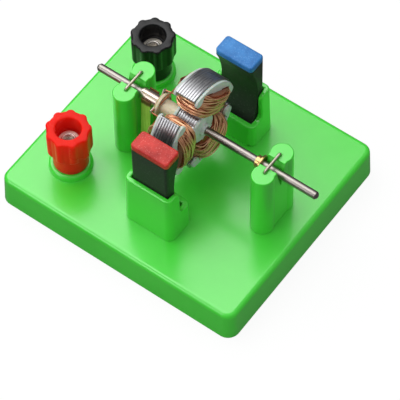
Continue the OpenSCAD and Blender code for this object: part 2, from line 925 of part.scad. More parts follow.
// ---- Coils ---------------------------------------------------------------------------------
// A coil is drawn on a pole that points along +Y: x along the shaft, y outwards, z around.

// The wound layers inside the outer turns: a block around the pole's leg that widens outwards.
module coil(number) {
    height = turn_end_r + wire_r - coil_start_r;
    color("#a8562c")
    on_axis()
        at_pole(number)
            translate([core_mid_x, coil_start_r, 0])
                rotate([-90, 0, 0])
                    difference() {
                        drafted_block(
                            coil_foot_x, coil_foot_z, coil_corner_r,
                            height, -coil_flare, 0, 0
                        );
                        translate([-plate_reach, -leg_width / 2, -over])
                            cube([2 * plate_reach, leg_width, height + 2 * over]);
                    }
}

// Where a turn lies at one of its 24 steps, at radial place y: the middle of a side, then five
// points around the next corner. Step 0 is on the +z side and the steps go towards +x.
function turn_point(step, y) =
    let (
        side = floor(step / 6) % 4,
        k = step % 6,
        spread = (y - coil_start_r) * tan(coil_flare) + turn_offset,
        corner_r = (coil_corner_r + spread) / cos(11.25),
        sx = side < 2 ? 1 : -1,
        sz = side == 0 || side == 3 ? 1 : -1,
        angle = 90 - 90 * side - 22.5 * (k - 1),
        flat = [[0, 1], [1, 0], [0, -1], [-1, 0]][side]
    )
    k == 0
        ? [flat[0] * (coil_foot_x + spread), y, flat[1] * (coil_foot_z + spread)]
        : [sx * (coil_foot_x - coil_corner_r) + corner_r * cos(angle), y,
           sz * (coil_foot_z - coil_corner_r) + corner_r * sin(angle)];

// Smooth run between two points, leaving and arriving in the given directions.
function smooth_run(a, leave, b, arrive, steps) =
    [for (i = [1:steps - 1]) let (t = i / steps, s = 1 - t)
        s * s * (1 + 2 * t) * a + s * s * t * leave + t * t * (1 + 2 * s) * b - t * t * s * arrive];

// Lead from the riser to the near side of the coil, then the turns in a steady climb, then a
// tail into the pole shoe.
function winding_path() =
    let (
        near_side = 18,
        lead_start = [fibre_x - core_mid_x, lead_r, 0],
        lead_out = lead_start + [wire_d, 0, 0],
        entry = turn_point(near_side, turn_start_r),
        run = entry[0] - lead_out[0],
        steps = 24 * (wire_turns - 1) + near_side,
        climb = (turn_end_r - turn_start_r) / steps,
        turns = [for (i = [0:steps]) turn_point(near_side + i, turn_start_r + climb * i)],
        last = turns[steps],
        b = tail_bend_r
    )
    concat(
        [lead_start, lead_out],
        smooth_run(lead_out, [run, 0, 0], entry, [0, 0, run], 12),
        turns,
        [for (a = [30, 60, 90]) last + [-b * sin(a), b - b * cos(a), 0]],
        [last + [-b, b + wire_d, 0]]
    );

module outer_turns(number) {
    color("#c8764a")
    on_axis()
        at_pole(number)
            translate([core_mid_x, 0, 0])
                tube(path_frames(winding_path(), [0, 0, 1]), wire_r, 6);
}

// Least gap between two stretches of one winding that aren't neighbours along it.
function winding_gap(path) =
    let (skip = 6)
    min([for (i = [0:len(path) - 1 - skip], j = [i + skip:len(path) - 1])
        norm(path[i] - path[j])]) - wire_d;

module coil_1() { coil(1); }
module coil_2() { coil(2); }
module coil_3() { coil(3); }
module outer_turns_1() {
    echo(least_gap_between_turns_mm = winding_gap(winding_path()));
    outer_turns(1);
}
module outer_turns_2() { outer_turns(2); }
module outer_turns_3() { outer_turns(3); }

// ---- Commutator ----------------------------------------------------------------------------

// Moulded hub: a sleeve under the segments, a flange behind them and a tube up to the core.
module commutator_hub() {
    end_x = stack_start_x - end_plate_t;
    color("#e6dcc0")
    on_axis()
        difference() {
            union() {
                rod_x(commutator_x, end_x - commutator_x, segment_inner_r);
                rod_x(flange_x, hub_flange_t, hub_flange_r);
                rod_x(flange_x, end_x - flange_x, hub_r);
            }
            rod_x(commutator_x - over, end_x - commutator_x + 2 * over, shaft_r);
        }
}

module fibre_washer() {
    color("#a39063")
    on_axis()
        difference() {
            rod_x(fibre_x, fibre_washer_t, fibre_washer_r);
            rod_x(fibre_x - over, fibre_washer_t + 2 * over, segment_inner_r);
        }
}

// One copper segment of a third of the ring, with a riser that takes its coil's lead.
module commutator_segment(number) {
    wedge = commutator_d;
    length = commutator_length + riser_t;
    color("#d9b48c")
    on_axis()
        at_pole(number)
            difference() {
                union() {
                    profile_x(commutator_x, length)
                        intersection() {
                            circle(r = commutator_r);
                            polygon([
                                [0, 0], [wedge * cos(60), -wedge * sin(60)],
                                [2 * wedge, 0], [wedge * cos(60), wedge * sin(60)]
                            ]);
                        }
                    translate([riser_x, 0, -riser_w / 2])
                        cube([riser_t, riser_r, riser_w]);
                }
                rod_x(commutator_x - over, length + 2 * over, segment_inner_r);
                for (turn = [-60, 60])
                    rotate([turn, 0, 0])
                        translate([commutator_x - over, 0, -segment_slot / 2])
                            cube([length + 2 * over, commutator_d, segment_slot]);
            }
}

module commutator_segment_1() { commutator_segment(1); }
module commutator_segment_2() { commutator_segment(2); }
module commutator_segment_3() { commutator_segment(3); }

// ---- Brushes -------------------------------------------------------------------------------

// Distance of a brush strip's middle from the shaft's axis, at a height on its straight part.
function brush_centre_y(z) =
    let (share = (z - strip_z) / (axis_z - strip_z))
    brush_foot_y + (brush_contact_y - brush_foot_y) * share;

// Middle line of a brush blade: a tight bend under the skin, the blade and a flared tip.
function brush_line() =
    let (
        foot_z = strip_z + brush_t / 2,
        foot_y = brush_centre_y(foot_z),
        flare = [for (i = [1:edge_steps]) let (t = i / edge_steps)
            [brush_contact_y + brush_tip_flare * t * t, axis_z + brush_tip_rise * t]]
    )
    concat(
        [for (i = [0:edge_steps]) let (a = 90 * i / edge_steps)
            [foot_y + brush_bend * (1 - sin(a)), foot_z + brush_bend * (1 - cos(a))]],
        [[brush_contact_y, axis_z]],
        flare
    );

// A strip of even thickness along a line in the plane, as a closed outline.
function strip_outline(line, t) =
    let (
        n = len(line),
        dirs = [for (i = [0:n - 1])
            unit((i < n - 1 ? unit(line[i + 1] - line[i]) : [0, 0])
               + (i > 0 ? unit(line[i] - line[i - 1]) : [0, 0]))],
        left = [for (i = [0:n - 1]) line[i] + t / 2 * [-dirs[i][1], dirs[i][0]]],
        right = [for (i = [n - 1:-1:0]) line[i] - t / 2 * [-dirs[i][1], dirs[i][0]]]
    )
    concat(left, right);

module brush(side) {
    color("#b39a4e")
    mirror([0, side == front ? 1 : 0, 0])
        on_base()
            profile_x(brush_x, brush_w)
                polygon(strip_outline(brush_line(), brush_t));
}

// The flat foot of a brush under the skin, from its bend to past its screw.
module brush_foot(side) {
    start_y = brush_centre_y(strip_z + brush_t / 2) + brush_bend + brush_foot_gap;
    color("#b39a4e")
    mirror([0, side == front ? 1 : 0, 0])
        on_base()
            difference() {
                translate([brush_x, start_y, strip_z])
                    cube([brush_w, screw_y + strip_w / 2 - start_y, brush_t]);
                translate([brush_mid_x, screw_y, strip_z - over])
                    cylinder(h = 2 * over, r = screw_d / 2);
            }
}

module front_brush() { brush(front); }
module back_brush() { brush(back); }
module front_brush_foot() { brush_foot(front); }
module back_brush_foot() { brush_foot(back); }

// ---- Contact strips and their fasteners ----------------------------------------------------

// Flat strip that joins a terminal's post to its brush.
module contact_strip(side) {
    from = [brush_mid_x, screw_y];
    to = [terminal_x, terminal_y];
    run = to - from;
    color("#c2a15a")
    mirror([0, side == front ? 1 : 0, 0])
        on_base()
            translate([0, 0, strip_z - strip_t])
                linear_extrude(strip_t)
                    difference() {
                        union() {
                            translate(from)
                                circle(r = strip_w / 2);
                            translate(to)
                                circle(r = washer_r);
                            translate(from)
                                rotate(atan2(run[1], run[0]))
                                    translate([0, -strip_w / 2])
                                        square([norm(run), strip_w]);
                        }
                        translate(from)
                            circle(r = screw_d / 2);
                        translate(to)
                            circle(r = post_r);
                    }
}

module front_contact_strip() { contact_strip(front); }
module back_contact_strip() { contact_strip(back); }

module brush_screws() {
    color("#c8c8c4")
    on_base()
        for (side = [front, back])
            translate([brush_mid_x, side * screw_y, washer_z - screw_head_h])
                difference() {
                    union() {
                        cylinder(h = screw_head_h, r = screw_head_r);
                        cylinder(h = screw_head_h + strip_t + screw_length, r = screw_d / 2);
                    }
                    translate([-screw_head_r - over, -screw_slot_w / 2, -over])
                        cube([2 * (screw_head_r + over), screw_slot_w, over + screw_head_h / 2]);
                }
}

module terminal_washers() {
    color("#c8c8c4")
    for (side = [front, back])
        at_terminal(side)
            translate([0, 0, washer_z - washer_t])
                difference() {
                    cylinder(h = washer_t, r = washer_r);
                    translate([0, 0, -over])
                        cylinder(h = washer_t + 2 * over, r = post_r);
                }
}

module terminal_nuts() {
    color("#c8c8c4")
    for (side = [front, back])
        at_terminal(side)
            translate([0, 0, nut_z])
                difference() {
                    cylinder(h = nut_t, r = nut_flats / 2 / cos(30), $fn = 6);
                    translate([0, 0, -over])
                        cylinder(h = nut_t + 2 * over, r = post_r);
                }
}

// ---- Terminals -----------------------------------------------------------------------------

// Threaded post with the plug socket in its top and a flange that seats in the pad.
module socket_post(side) {
    color("#cfc7b4")
    at_terminal(side)
        difference() {
            union() {
                translate([0, 0, post_bottom_z])
                    cylinder(h = post_top_z - post_bottom_z, r = post_r);
                translate([0, 0, pad_z - post_flange_t])
                    cylinder(h = post_flange_t, r = post_flange_r);
            }
            translate([0, 0, post_top_z - socket_depth])
                cylinder(h = socket_depth + over, r = socket_r);
        }
}

module threaded_insert(side) {
    color("#cbb98c")
    at_terminal(side)
        translate([0, 0, recess_z - insert_length])
            difference() {
                cylinder(h = insert_length, r = insert_r);
                translate([0, 0, -over])
                    cylinder(h = insert_length + 2 * over, r = post_r + insert_clearance);
            }
}

module knob_grip_outline() {
    circle(r = knob_body_r);
    for (i = [0:knob_lobes - 1])
        rotate(360 * i / knob_lobes)
            translate([knob_tip_r - knob_lobe_r, 0])
                circle(r = knob_lobe_r, $fn = 32);
}

// Envelope that rounds the ends of the lobes, below more than above.
module knob_grip_envelope() {
    foot = knob_tip_r - knob_skirt_r;
    crown = knob_crown_r;
    rotate_extrude()
        polygon(concat(
            [[0, 0]],
            [for (i = [0:edge_steps]) let (a = 90 * i / edge_steps)
                [knob_skirt_r + foot * sin(a), foot - foot * cos(a)]],
            [for (i = [0:edge_steps]) let (a = 90 * i / edge_steps)
                [knob_tip_r - crown + crown * cos(a), knob_grip_h - crown + crown * sin(a)]],
            [[0, knob_grip_h]]
        ));
}

module terminal_knob(side) {
    skirt_h = knob_height - knob_grip_h;
    floor_h = knob_height - recess_depth;
    mouth = recess_chamfer;
    at_terminal(side)
        translate([0, 0, knob_z])
            difference() {
                union() {
                    cylinder(h = skirt_h + over, r = knob_skirt_r);
                    translate([0, 0, skirt_h])
                        intersection() {
                            linear_extrude(knob_grip_h)
                                knob_grip_outline();
                            knob_grip_envelope();
                        }
                }
                translate([0, 0, floor_h])
                    cylinder(h = recess_depth + over, r = recess_r);
                translate([0, 0, knob_height - mouth])
                    cylinder(h = mouth + over, r1 = recess_r, r2 = recess_r + mouth + over);
                translate([0, 0, -over])
                    cylinder(h = floor_h + over, r = post_r + 2 * insert_clearance);
                translate([0, 0, floor_h - insert_length])
                    cylinder(h = insert_length + over, r = insert_r + insert_clearance);
            }
}

module front_socket_post() { socket_post(front); }
module back_socket_post() { socket_post(back); }
module front_threaded_insert() { threaded_insert(front); }
module back_threaded_insert() { threaded_insert(back); }
module front_terminal_knob() { color("#d6241f") terminal_knob(front); }
module back_terminal_knob() { color("#26262a") terminal_knob(back); }

base();
left_support();
right_support();
front_magnet_holder();
back_magnet_holder();
front_magnet();
front_magnet_cap();
back_magnet();
back_magnet_cap();
left_shaft_clip();
right_shaft_clip();
shaft();
thrust_collar();
rotor_core();
inner_end_plate();
outer_end_plate();
coil_1();
coil_2();
coil_3();
outer_turns_1();
outer_turns_2();
outer_turns_3();
commutator_hub();
fibre_washer();
commutator_segment_1();
commutator_segment_2();
commutator_segment_3();
front_brush();
back_brush();
front_brush_foot();
back_brush_foot();
front_contact_strip();
back_contact_strip();
brush_screws();
front_socket_post();
back_socket_post();
front_threaded_insert();
back_threaded_insert();
front_terminal_knob();
back_terminal_knob();
terminal_washers();
terminal_nuts();
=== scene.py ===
# The looks of a demonstration electric motor: a glossy green moulded base, two capped arc
# magnets, a wound three-pole rotor on a steel shaft, spring brushes and two lobed terminal
# knobs. Lengths in the tables below are millimetres; every mesh is made in metres.
import math

import bmesh
import bpy
from mathutils import Matrix, Vector, noise


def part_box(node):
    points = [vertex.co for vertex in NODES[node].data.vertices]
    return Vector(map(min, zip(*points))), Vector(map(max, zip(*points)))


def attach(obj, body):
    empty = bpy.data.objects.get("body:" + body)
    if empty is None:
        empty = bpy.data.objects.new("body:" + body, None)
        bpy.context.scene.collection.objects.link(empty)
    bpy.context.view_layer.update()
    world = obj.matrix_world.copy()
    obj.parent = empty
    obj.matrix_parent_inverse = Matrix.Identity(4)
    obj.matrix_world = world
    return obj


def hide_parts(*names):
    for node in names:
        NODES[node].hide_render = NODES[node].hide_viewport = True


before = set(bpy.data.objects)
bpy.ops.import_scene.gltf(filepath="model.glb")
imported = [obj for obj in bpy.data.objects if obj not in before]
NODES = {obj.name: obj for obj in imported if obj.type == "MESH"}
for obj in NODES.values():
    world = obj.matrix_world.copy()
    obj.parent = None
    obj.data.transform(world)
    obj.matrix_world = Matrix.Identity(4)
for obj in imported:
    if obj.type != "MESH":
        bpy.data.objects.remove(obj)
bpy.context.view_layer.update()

MM = 0.001


def span(node):
    """Lowest and highest corner of a solid, in millimetres."""
    low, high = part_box(node)
    return [v / MM for v in low], [v / MM for v in high]


# ---- Camera and light ------------------------------------------------------------------------


# The camera fitted to the base's edges in the photograph: azimuth, elevation and roll in
# degrees, place in metres, lens and film in millimetres.
CAMERA_ANGLES = (37.07, 57.30, -1.2)
CAMERA_PLACE = (0.330745, -0.433405, 0.838881)
LENS = 232.72
FILM_WIDTH = 36


def photo_camera():
    """The photograph's viewing angle and framing."""
    azimuth, elevation, roll = (math.radians(v) for v in CAMERA_ANGLES)
    right = Vector((math.cos(azimuth), math.sin(azimuth), 0))
    back = Vector((
        math.sin(azimuth) * math.cos(elevation),
        -math.cos(azimuth) * math.cos(elevation),
        math.sin(elevation),
    ))
    up = back.cross(right)
    tilted_right = math.cos(roll) * right + math.sin(roll) * up
    tilted_up = -math.sin(roll) * right + math.cos(roll) * up
    turn = Matrix((tilted_right, tilted_up, back)).transposed().to_4x4()
    data = bpy.data.cameras.new("photo_camera")
    data.lens = LENS
    data.sensor_width = FILM_WIDTH
    data.clip_end = 20
    camera = bpy.data.objects.new("photo_camera", data)
    camera.matrix_world = Matrix.Translation(CAMERA_PLACE) @ turn
    bpy.context.scene.collection.objects.link(camera)
    bpy.context.scene.camera = camera


# Height of the point that the lamps face, in metres.
LIT_HEIGHT = 0.03


def soft_panel(name, towards, distance, size, radiance):
    """A square lamp that faces the object from the given direction. Sizes are metres."""
    direction = Vector(towards).normalized()
    data = bpy.data.lights.new(name, "AREA")
    data.shape = "SQUARE"
    data.size = size
    data.energy = radiance * math.pi * size * size
    lamp = bpy.data.objects.new(name, data)
    place = direction * distance + Vector((0, 0, LIT_HEIGHT))
    turn = direction.to_track_quat("Z", "Y").to_matrix().to_4x4()
    lamp.matrix_world = Matrix.Translation(place) @ turn
    lamp.visible_camera = False
    bpy.context.scene.collection.objects.link(lamp)


# ---- Node building ---------------------------------------------------------------------------


def put(tree, kind, settings=None, **values):
    """Adds a node. Settings are its own properties, values its input sockets by name."""
    made = tree.nodes.new(kind)
    for key, value in (settings or {}).items():
        setattr(made, key, value)
    for key, value in values.items():
        socket = made.inputs[key.replace("_", " ")]
        if isinstance(value, bpy.types.NodeSocket):
            tree.links.new(value, socket)
        else:
            socket.default_value = value
    return made


def shader_group(name, inputs, outputs):
    """A shader node group with named sockets, and its input node."""
    tree = bpy.data.node_groups.new(name, "ShaderNodeTree")
    for label, value in inputs.items():
        socket = tree.interface.new_socket(label, in_out="INPUT", socket_type="NodeSocketFloat")
        socket.default_value = value
    for label in outputs:
        tree.interface.new_socket(label, in_out="OUTPUT", socket_type="NodeSocketFloat")
    return tree, tree.nodes.new("NodeGroupInput"), tree.nodes.new("NodeGroupOutput")


def object_place(tree):
    """Where a point lies on the piece."""
    return tree.nodes.new("ShaderNodeTexCoord").outputs["Object"]


def make_handling_marks():
    """Broad soft smudges and small specks, as skin and dust leave on a gloss surface."""
    tree, given, result = shader_group(
        "handling marks", {"Broad scale": 40.0, "Speck scale": 900.0}, ["Smudge", "Speck"]
    )
    place = object_place(tree)
    broad = put(
        tree, "ShaderNodeTexNoise", Vector=place, Scale=given.outputs["Broad scale"],
        Detail=4.0, Roughness=0.6,
    )
    smudge = put(tree, "ShaderNodeMapRange", Value=broad.outputs["Fac"])
    smudge.inputs["From Min"].default_value = 0.35
    smudge.inputs["From Max"].default_value = 0.7
    fine = put(
        tree, "ShaderNodeTexNoise", Vector=place, Scale=given.outputs["Speck scale"], Detail=1.0
    )
    speck = put(tree, "ShaderNodeMapRange", Value=fine.outputs["Fac"])
    speck.inputs["From Min"].default_value = 0.62
    speck.inputs["From Max"].default_value = 0.72
    tree.links.new(smudge.outputs["Result"], result.inputs["Smudge"])
    tree.links.new(speck.outputs["Result"], result.inputs["Speck"])
    return tree


def make_skin_texture():
    """Fine uneven height: the skin of a moulding, a casting or a sheet."""
    tree, given, result = shader_group(
        "skin texture", {"Scale": 1500.0, "Waviness": 0.3}, ["Height"]
    )
    place = object_place(tree)
    fine = put(
        tree, "ShaderNodeTexNoise", Vector=place, Scale=given.outputs["Scale"],
        Detail=3.0, Roughness=0.55,
    )
    slow = put(tree, "ShaderNodeTexNoise", Vector=place, Scale=90.0, Detail=1.0)
    wave = put(tree, "ShaderNodeMath", {"operation": "MULTIPLY"})
    tree.links.new(slow.outputs["Fac"], wave.inputs[0])
    tree.links.new(given.outputs["Waviness"], wave.inputs[1])
    both = put(tree, "ShaderNodeMath", {"operation": "ADD"})
    tree.links.new(fine.outputs["Fac"], both.inputs[0])
    tree.links.new(wave.outputs[0], both.inputs[1])
    tree.links.new(both.outputs[0], result.inputs["Height"])
    return tree


def make_tool_lines():
    """Fine lines drawn along one axis of the object, as drawing, turning and wear leave."""
    tree, given, result = shader_group(
        "tool lines", {"Along X": 20.0, "Along Y": 2500.0, "Along Z": 2500.0}, ["Line"]
    )
    stretch = put(tree, "ShaderNodeCombineXYZ")
    for axis in "XYZ":
        tree.links.new(given.outputs["Along " + axis], stretch.inputs[axis])
    scaled = put(tree, "ShaderNodeVectorMath", {"operation": "MULTIPLY"})
    tree.links.new(object_place(tree), scaled.inputs[0])
    tree.links.new(stretch.outputs[0], scaled.inputs[1])
    lines = put(
        tree, "ShaderNodeTexNoise", Vector=scaled.outputs[0], Scale=1.0, Detail=3.0, Roughness=0.7
    )
    tree.links.new(lines.outputs["Fac"], result.inputs["Line"])
    return tree


handling_marks = make_handling_marks()
skin_texture = make_skin_texture()
tool_lines = make_tool_lines()


def use(tree, group, **values):
    """Places a shared effect in a material with the material's own values."""
    made = tree.nodes.new("ShaderNodeGroup")
    made.node_tree = group
    for key, value in values.items():
        made.inputs[key.replace("_", " ")].default_value = value
    return made


def blend_colours(tree, share, first, second):
    """Goes from the first colour to the second as the share goes from 0 to 1. A Mix node's
    colour sockets share their names with others, so they are taken by number."""
    mix = tree.nodes.new("ShaderNodeMix")
    mix.data_type = "RGBA"
    tree.links.new(share, mix.inputs["Factor"])
    for socket, colour in ((mix.inputs[6], first), (mix.inputs[7], second)):
        if isinstance(colour, bpy.types.NodeSocket):
            tree.links.new(colour, socket)
        else:
            socket.default_value = (*colour, 1)
    return mix.outputs[2]


def between(tree, value, low, high, start=0.0, end=1.0):
    """Maps a value from start..end to low..high."""
    made = put(tree, "ShaderNodeMapRange", Value=value)
    made.inputs["From Min"].default_value = start
    made.inputs["From Max"].default_value = end
    made.inputs["To Min"].default_value = low
    made.inputs["To Max"].default_value = high
    return made.outputs["Result"]


def relief(tree, shader, height, depth):
    """Bump of the given depth in metres."""
    bump = put(tree, "ShaderNodeBump", Height=height, Strength=1.0, Distance=depth)
    tree.links.new(bump.outputs["Normal"], shader.inputs["Normal"])


def new_finish(name, **constants):
    """A material and its Principled shader, with constants set on the shader itself."""
    finish = bpy.data.materials.new(name)
    finish.use_nodes = True
    tree = finish.node_tree
    shader = tree.nodes["Principled BSDF"]
    for key, value in constants.items():
        if isinstance(value, tuple):
            value = (*value, 1)
        shader.inputs[key.replace("_", " ")].default_value = value
    return finish, tree, shader


# ---- Finishes --------------------------------------------------------------------------------


def gloss_moulding(name, deep, pale, rough, ior, coat=0.0, glow=0.0, glow_reach=(1, 1, 1)):
    """Shiny moulded plastic: slight cloudiness, handling smudges, a faint moulded skin. glow is
    the share of light that enters and comes back, glow_reach how far each colour gets."""
    finish, tree, shader = new_finish(
        name, IOR=ior, Coat_Weight=coat, Coat_Roughness=0.2, Subsurface_Weight=glow,
        Subsurface_Scale=0.0025,
    )
    shader.inputs["Subsurface Radius"].default_value = glow_reach
    marks = use(tree, handling_marks, Broad_scale=38.0)
    colour = blend_colours(tree, marks.outputs["Smudge"], deep, pale)
    tree.links.new(colour, shader.inputs["Base Color"])
    roughness = between(tree, marks.outputs["Smudge"], rough, rough + 0.08)
    tree.links.new(roughness, shader.inputs["Roughness"])
    skin = use(tree, skin_texture, Scale=700.0, Waviness=1.2)
    relief(tree, shader, skin.outputs["Height"], 0.000006)
    return finish


def sintered_magnet():
    """Matt dark ceramic with a pressed grain and a few pale specks."""
    finish, tree, shader = new_finish("magnet_dark", IOR=1.42)
    marks = use(tree, handling_marks, Broad_scale=60.0, Speck_scale=1600.0)
    cloud = blend_colours(
        tree, marks.outputs["Smudge"], (0.011, 0.015, 0.012), (0.024, 0.03, 0.025)
    )
    speckled = blend_colours(
        tree, between(tree, marks.outputs["Speck"], 0.0, 0.35), cloud, (0.12, 0.125, 0.12)
    )
    tree.links.new(speckled, shader.inputs["Base Color"])
    tree.links.new(between(tree, marks.outputs["Smudge"], 0.38, 0.52), shader.inputs["Roughness"])
    skin = use(tree, skin_texture, Scale=1600.0, Waviness=0.5)
    relief(tree, shader, skin.outputs["Height"], 0.00002)
    return finish


def painted_cap(name, deep, pale, worn):
    """Enamel brushed over the magnet's end: speckled, a little thin in places."""
    finish, tree, shader = new_finish(name, IOR=1.3, Coat_Weight=0.12, Coat_Roughness=0.12)
    marks = use(tree, handling_marks, Broad_scale=140.0, Speck_scale=2400.0)
    cloud = blend_colours(tree, marks.outputs["Smudge"], deep, pale)
    speckled = blend_colours(tree, between(tree, marks.outputs["Speck"], 0.0, 0.45), cloud, worn)
    tree.links.new(speckled, shader.inputs["Base Color"])
    tree.links.new(between(tree, marks.outputs["Speck"], 0.36, 0.5), shader.inputs["Roughness"])
    skin = use(tree, skin_texture, Scale=1300.0, Waviness=0.8)
    relief(tree, shader, skin.outputs["Height"], 0.00003)
    return finish


def drawn_metal(name, deep, pale, rough, lines, depth=0.000003):
    """Bare metal with fine tool lines; lines gives how finely they run along X, Y and Z."""
    finish, tree, shader = new_finish(name, Metallic=1.0)
    line = use(tree, tool_lines, Along_X=lines[0], Along_Y=lines[1], Along_Z=lines[2])
    marks = use(tree, handling_marks, Broad_scale=150.0)
    colour = blend_colours(
        tree, between(tree, line.outputs["Line"], 0.0, 1.0, 0.35, 0.65), deep, pale
    )
    dull = tuple(0.75 * c for c in deep)
    dulled = blend_colours(
        tree, between(tree, marks.outputs["Smudge"], 0.0, 0.3), colour, dull
    )
    tree.links.new(dulled, shader.inputs["Base Color"])
    tree.links.new(
        between(tree, line.outputs["Line"], rough - 0.06, rough + 0.1, 0.3, 0.7),
        shader.inputs["Roughness"],
    )
    relief(tree, shader, line.outputs["Line"], depth)
    return finish


def worn_brush(stain_from):
    """Springy bronze strip, stained dark red-brown where it rubs and sparks, above a height."""
    finish, tree, shader = new_finish("brush_bronze", Metallic=0.55)
    line = use(tree, tool_lines, Along_X=3000, Along_Y=300, Along_Z=90)
    colour = blend_colours(
        tree, between(tree, line.outputs["Line"], 0.0, 1.0, 0.35, 0.65),
        (0.52, 0.6, 0.1), (0.74, 0.82, 0.2),
    )
    place = put(tree, "ShaderNodeSeparateXYZ", Vector=object_place(tree))
    marks = use(tree, handling_marks, Broad_scale=500.0)
    height = put(tree, "ShaderNodeMath", {"operation": "ADD"})
    tree.links.new(place.outputs["Z"], height.inputs[0])
    tree.links.new(between(tree, marks.outputs["Smudge"], -0.5 * MM, 0.5 * MM), height.inputs[1])
    stain = between(tree, height.outputs[0], 0.0, 0.9, stain_from, stain_from + 1.2 * MM)
    stained = blend_colours(tree, stain, colour, (0.13, 0.035, 0.02))
    tree.links.new(stained, shader.inputs["Base Color"])
    tree.links.new(between(tree, stain, 0.4, 0.55), shader.inputs["Roughness"])
    relief(tree, shader, line.outputs["Line"], 0.000003)
    return finish


def fibre_sheet(name, deep, pale, soft):
    """Matt insulating sheet or moulding, mottled, with a faint weave. soft is the share of
    light that enters and comes back."""
    finish, tree, shader = new_finish(
        name, IOR=1.5, Subsurface_Weight=soft, Subsurface_Scale=0.001
    )
    marks = use(tree, handling_marks, Broad_scale=260.0, Speck_scale=2200.0)
    cloud = blend_colours(tree, marks.outputs["Smudge"], deep, pale)
    dark_speck = tuple(0.8 * c for c in deep)
    speckled = blend_colours(
        tree, between(tree, marks.outputs["Speck"], 0.0, 0.4), cloud, dark_speck
    )
    tree.links.new(speckled, shader.inputs["Base Color"])
    tree.links.new(between(tree, marks.outputs["Smudge"], 0.35, 0.5), shader.inputs["Roughness"])
    skin = use(tree, skin_texture, Scale=2400.0, Waviness=0.4)
    relief(tree, shader, skin.outputs["Height"], 0.00001)
    return finish


def enamelled_copper():
    """Winding wire: each strand a slightly different copper under clear amber enamel, and the
    deeper layers darker as painted shade.
    """
    finish, tree, shader = new_finish(
        "copper_wire", Metallic=0.6, Coat_Weight=0.7, Coat_Roughness=0.14,
        Coat_Tint=(1.0, 0.84, 0.62),
    )
    strand = tree.nodes.new("ShaderNodeAttribute")
    strand.attribute_name = "strand"
    marks = use(tree, handling_marks, Broad_scale=420.0)
    # The strand's number sets the copper: dark for the deeper layers and the core, which is
    # painted shade.
    shaded_copper = blend_colours(tree, strand.outputs["Fac"], (0.3, 0.055, 0.018), (1.0, 0.64, 0.43))
    colour = blend_colours(
        tree, between(tree, marks.outputs["Smudge"], 0.0, 0.22), shaded_copper, (0.42, 0.12, 0.045)
    )
    tree.links.new(colour, shader.inputs["Base Color"])
    tree.links.new(between(tree, marks.outputs["Smudge"], 0.17, 0.3), shader.inputs["Roughness"])
    skin = use(tree, skin_texture, Scale=1800.0, Waviness=0.2)
    relief(tree, shader, skin.outputs["Height"], 0.000006)
    return finish


# How far below the brushes' tips the stain from rubbing begins, in millimetres.
STAIN_LENGTH = 3.6

# Every finish by its slot's name, with its colours from deep to pale.
FINISHES = {
    "base_green": gloss_moulding(
        "base_green", (0.046, 0.63, 0.03), (0.058, 0.68, 0.04), 0.28, ior=1.5,
        coat=1.0, glow=0.25, glow_reach=(0.25, 1.0, 0.2),
    ),
    "magnet_dark": sintered_magnet(),
    "cap_red": painted_cap(
        "cap_red", (0.33, 0.01, 0.008), (0.6, 0.04, 0.03), (0.8, 0.3, 0.26)
    ),
    "cap_blue": painted_cap(
        "cap_blue", (0.018, 0.13, 0.38), (0.045, 0.22, 0.54), (0.16, 0.4, 0.72)
    ),
    "bright_wire": drawn_metal(
        "bright_wire", (0.5, 0.47, 0.36), (0.72, 0.69, 0.56), 0.4, (900, 60, 900)
    ),
    "shaft_steel": drawn_metal(
        "shaft_steel", (0.3, 0.27, 0.25), (0.44, 0.4, 0.37), 0.34, (60, 3000, 3000)
    ),
    "brass": drawn_metal(
        "brass", (0.62, 0.42, 0.16), (0.8, 0.58, 0.26), 0.28, (2500, 300, 300)
    ),
    "lamination_steel": drawn_metal(
        "lamination_steel", (0.42, 0.42, 0.44), (0.62, 0.62, 0.63), 0.36, (3000, 260, 260),
        depth=0.000006,
    ),
    "end_plate_grey": fibre_sheet(
        "end_plate_grey", (0.46, 0.54, 0.49), (0.6, 0.68, 0.62), soft=0.2
    ),
    "copper_wire": enamelled_copper(),
    "hub_cream": fibre_sheet("hub_cream", (0.48, 0.42, 0.28), (0.66, 0.6, 0.42), soft=0.3),
    "fibre_tan": fibre_sheet("fibre_tan", (0.3, 0.26, 0.12), (0.48, 0.43, 0.24), soft=0.3),
    "commutator_copper": drawn_metal(
        "commutator_copper", (0.62, 0.47, 0.39), (0.78, 0.67, 0.61), 0.3, (3500, 200, 200)
    ),
    "brush_bronze": worn_brush((span("front_brush")[1][2] - STAIN_LENGTH) * MM),
    "plated_steel": drawn_metal(
        "plated_steel", (0.55, 0.56, 0.56), (0.74, 0.74, 0.72), 0.3, (500, 500, 2500)
    ),
    "socket_nickel": drawn_metal(
        "socket_nickel", (0.56, 0.53, 0.49), (0.78, 0.75, 0.7), 0.22, (400, 400, 2500)
    ),
    "insert_brass": drawn_metal(
        "insert_brass", (0.76, 0.7, 0.6), (0.98, 0.92, 0.82), 0.3, (400, 400, 2500)
    ),
    "knob_red": gloss_moulding(
        "knob_red", (0.66, 0.012, 0.006), (0.78, 0.018, 0.009), 0.24, ior=1.2,
        glow=1.0, glow_reach=(2.5, 0.12, 0.06),
    ),
    "knob_black": gloss_moulding(
        "knob_black", (0.005, 0.0055, 0.006), (0.01, 0.01, 0.011), 0.2, ior=1.36
    ),
}

# ---- Making meshes ---------------------------------------------------------------------------

# Corners of a solid nearer than this, in metres, are one corner.
SAME_CORNER = 2e-7
# An edge is sharp where its faces turn by more than this, in degrees.
SHARP_TURN = 28
# Faces that turn by less than this, in degrees, are one flat face.
FLAT_TURN = 0.4


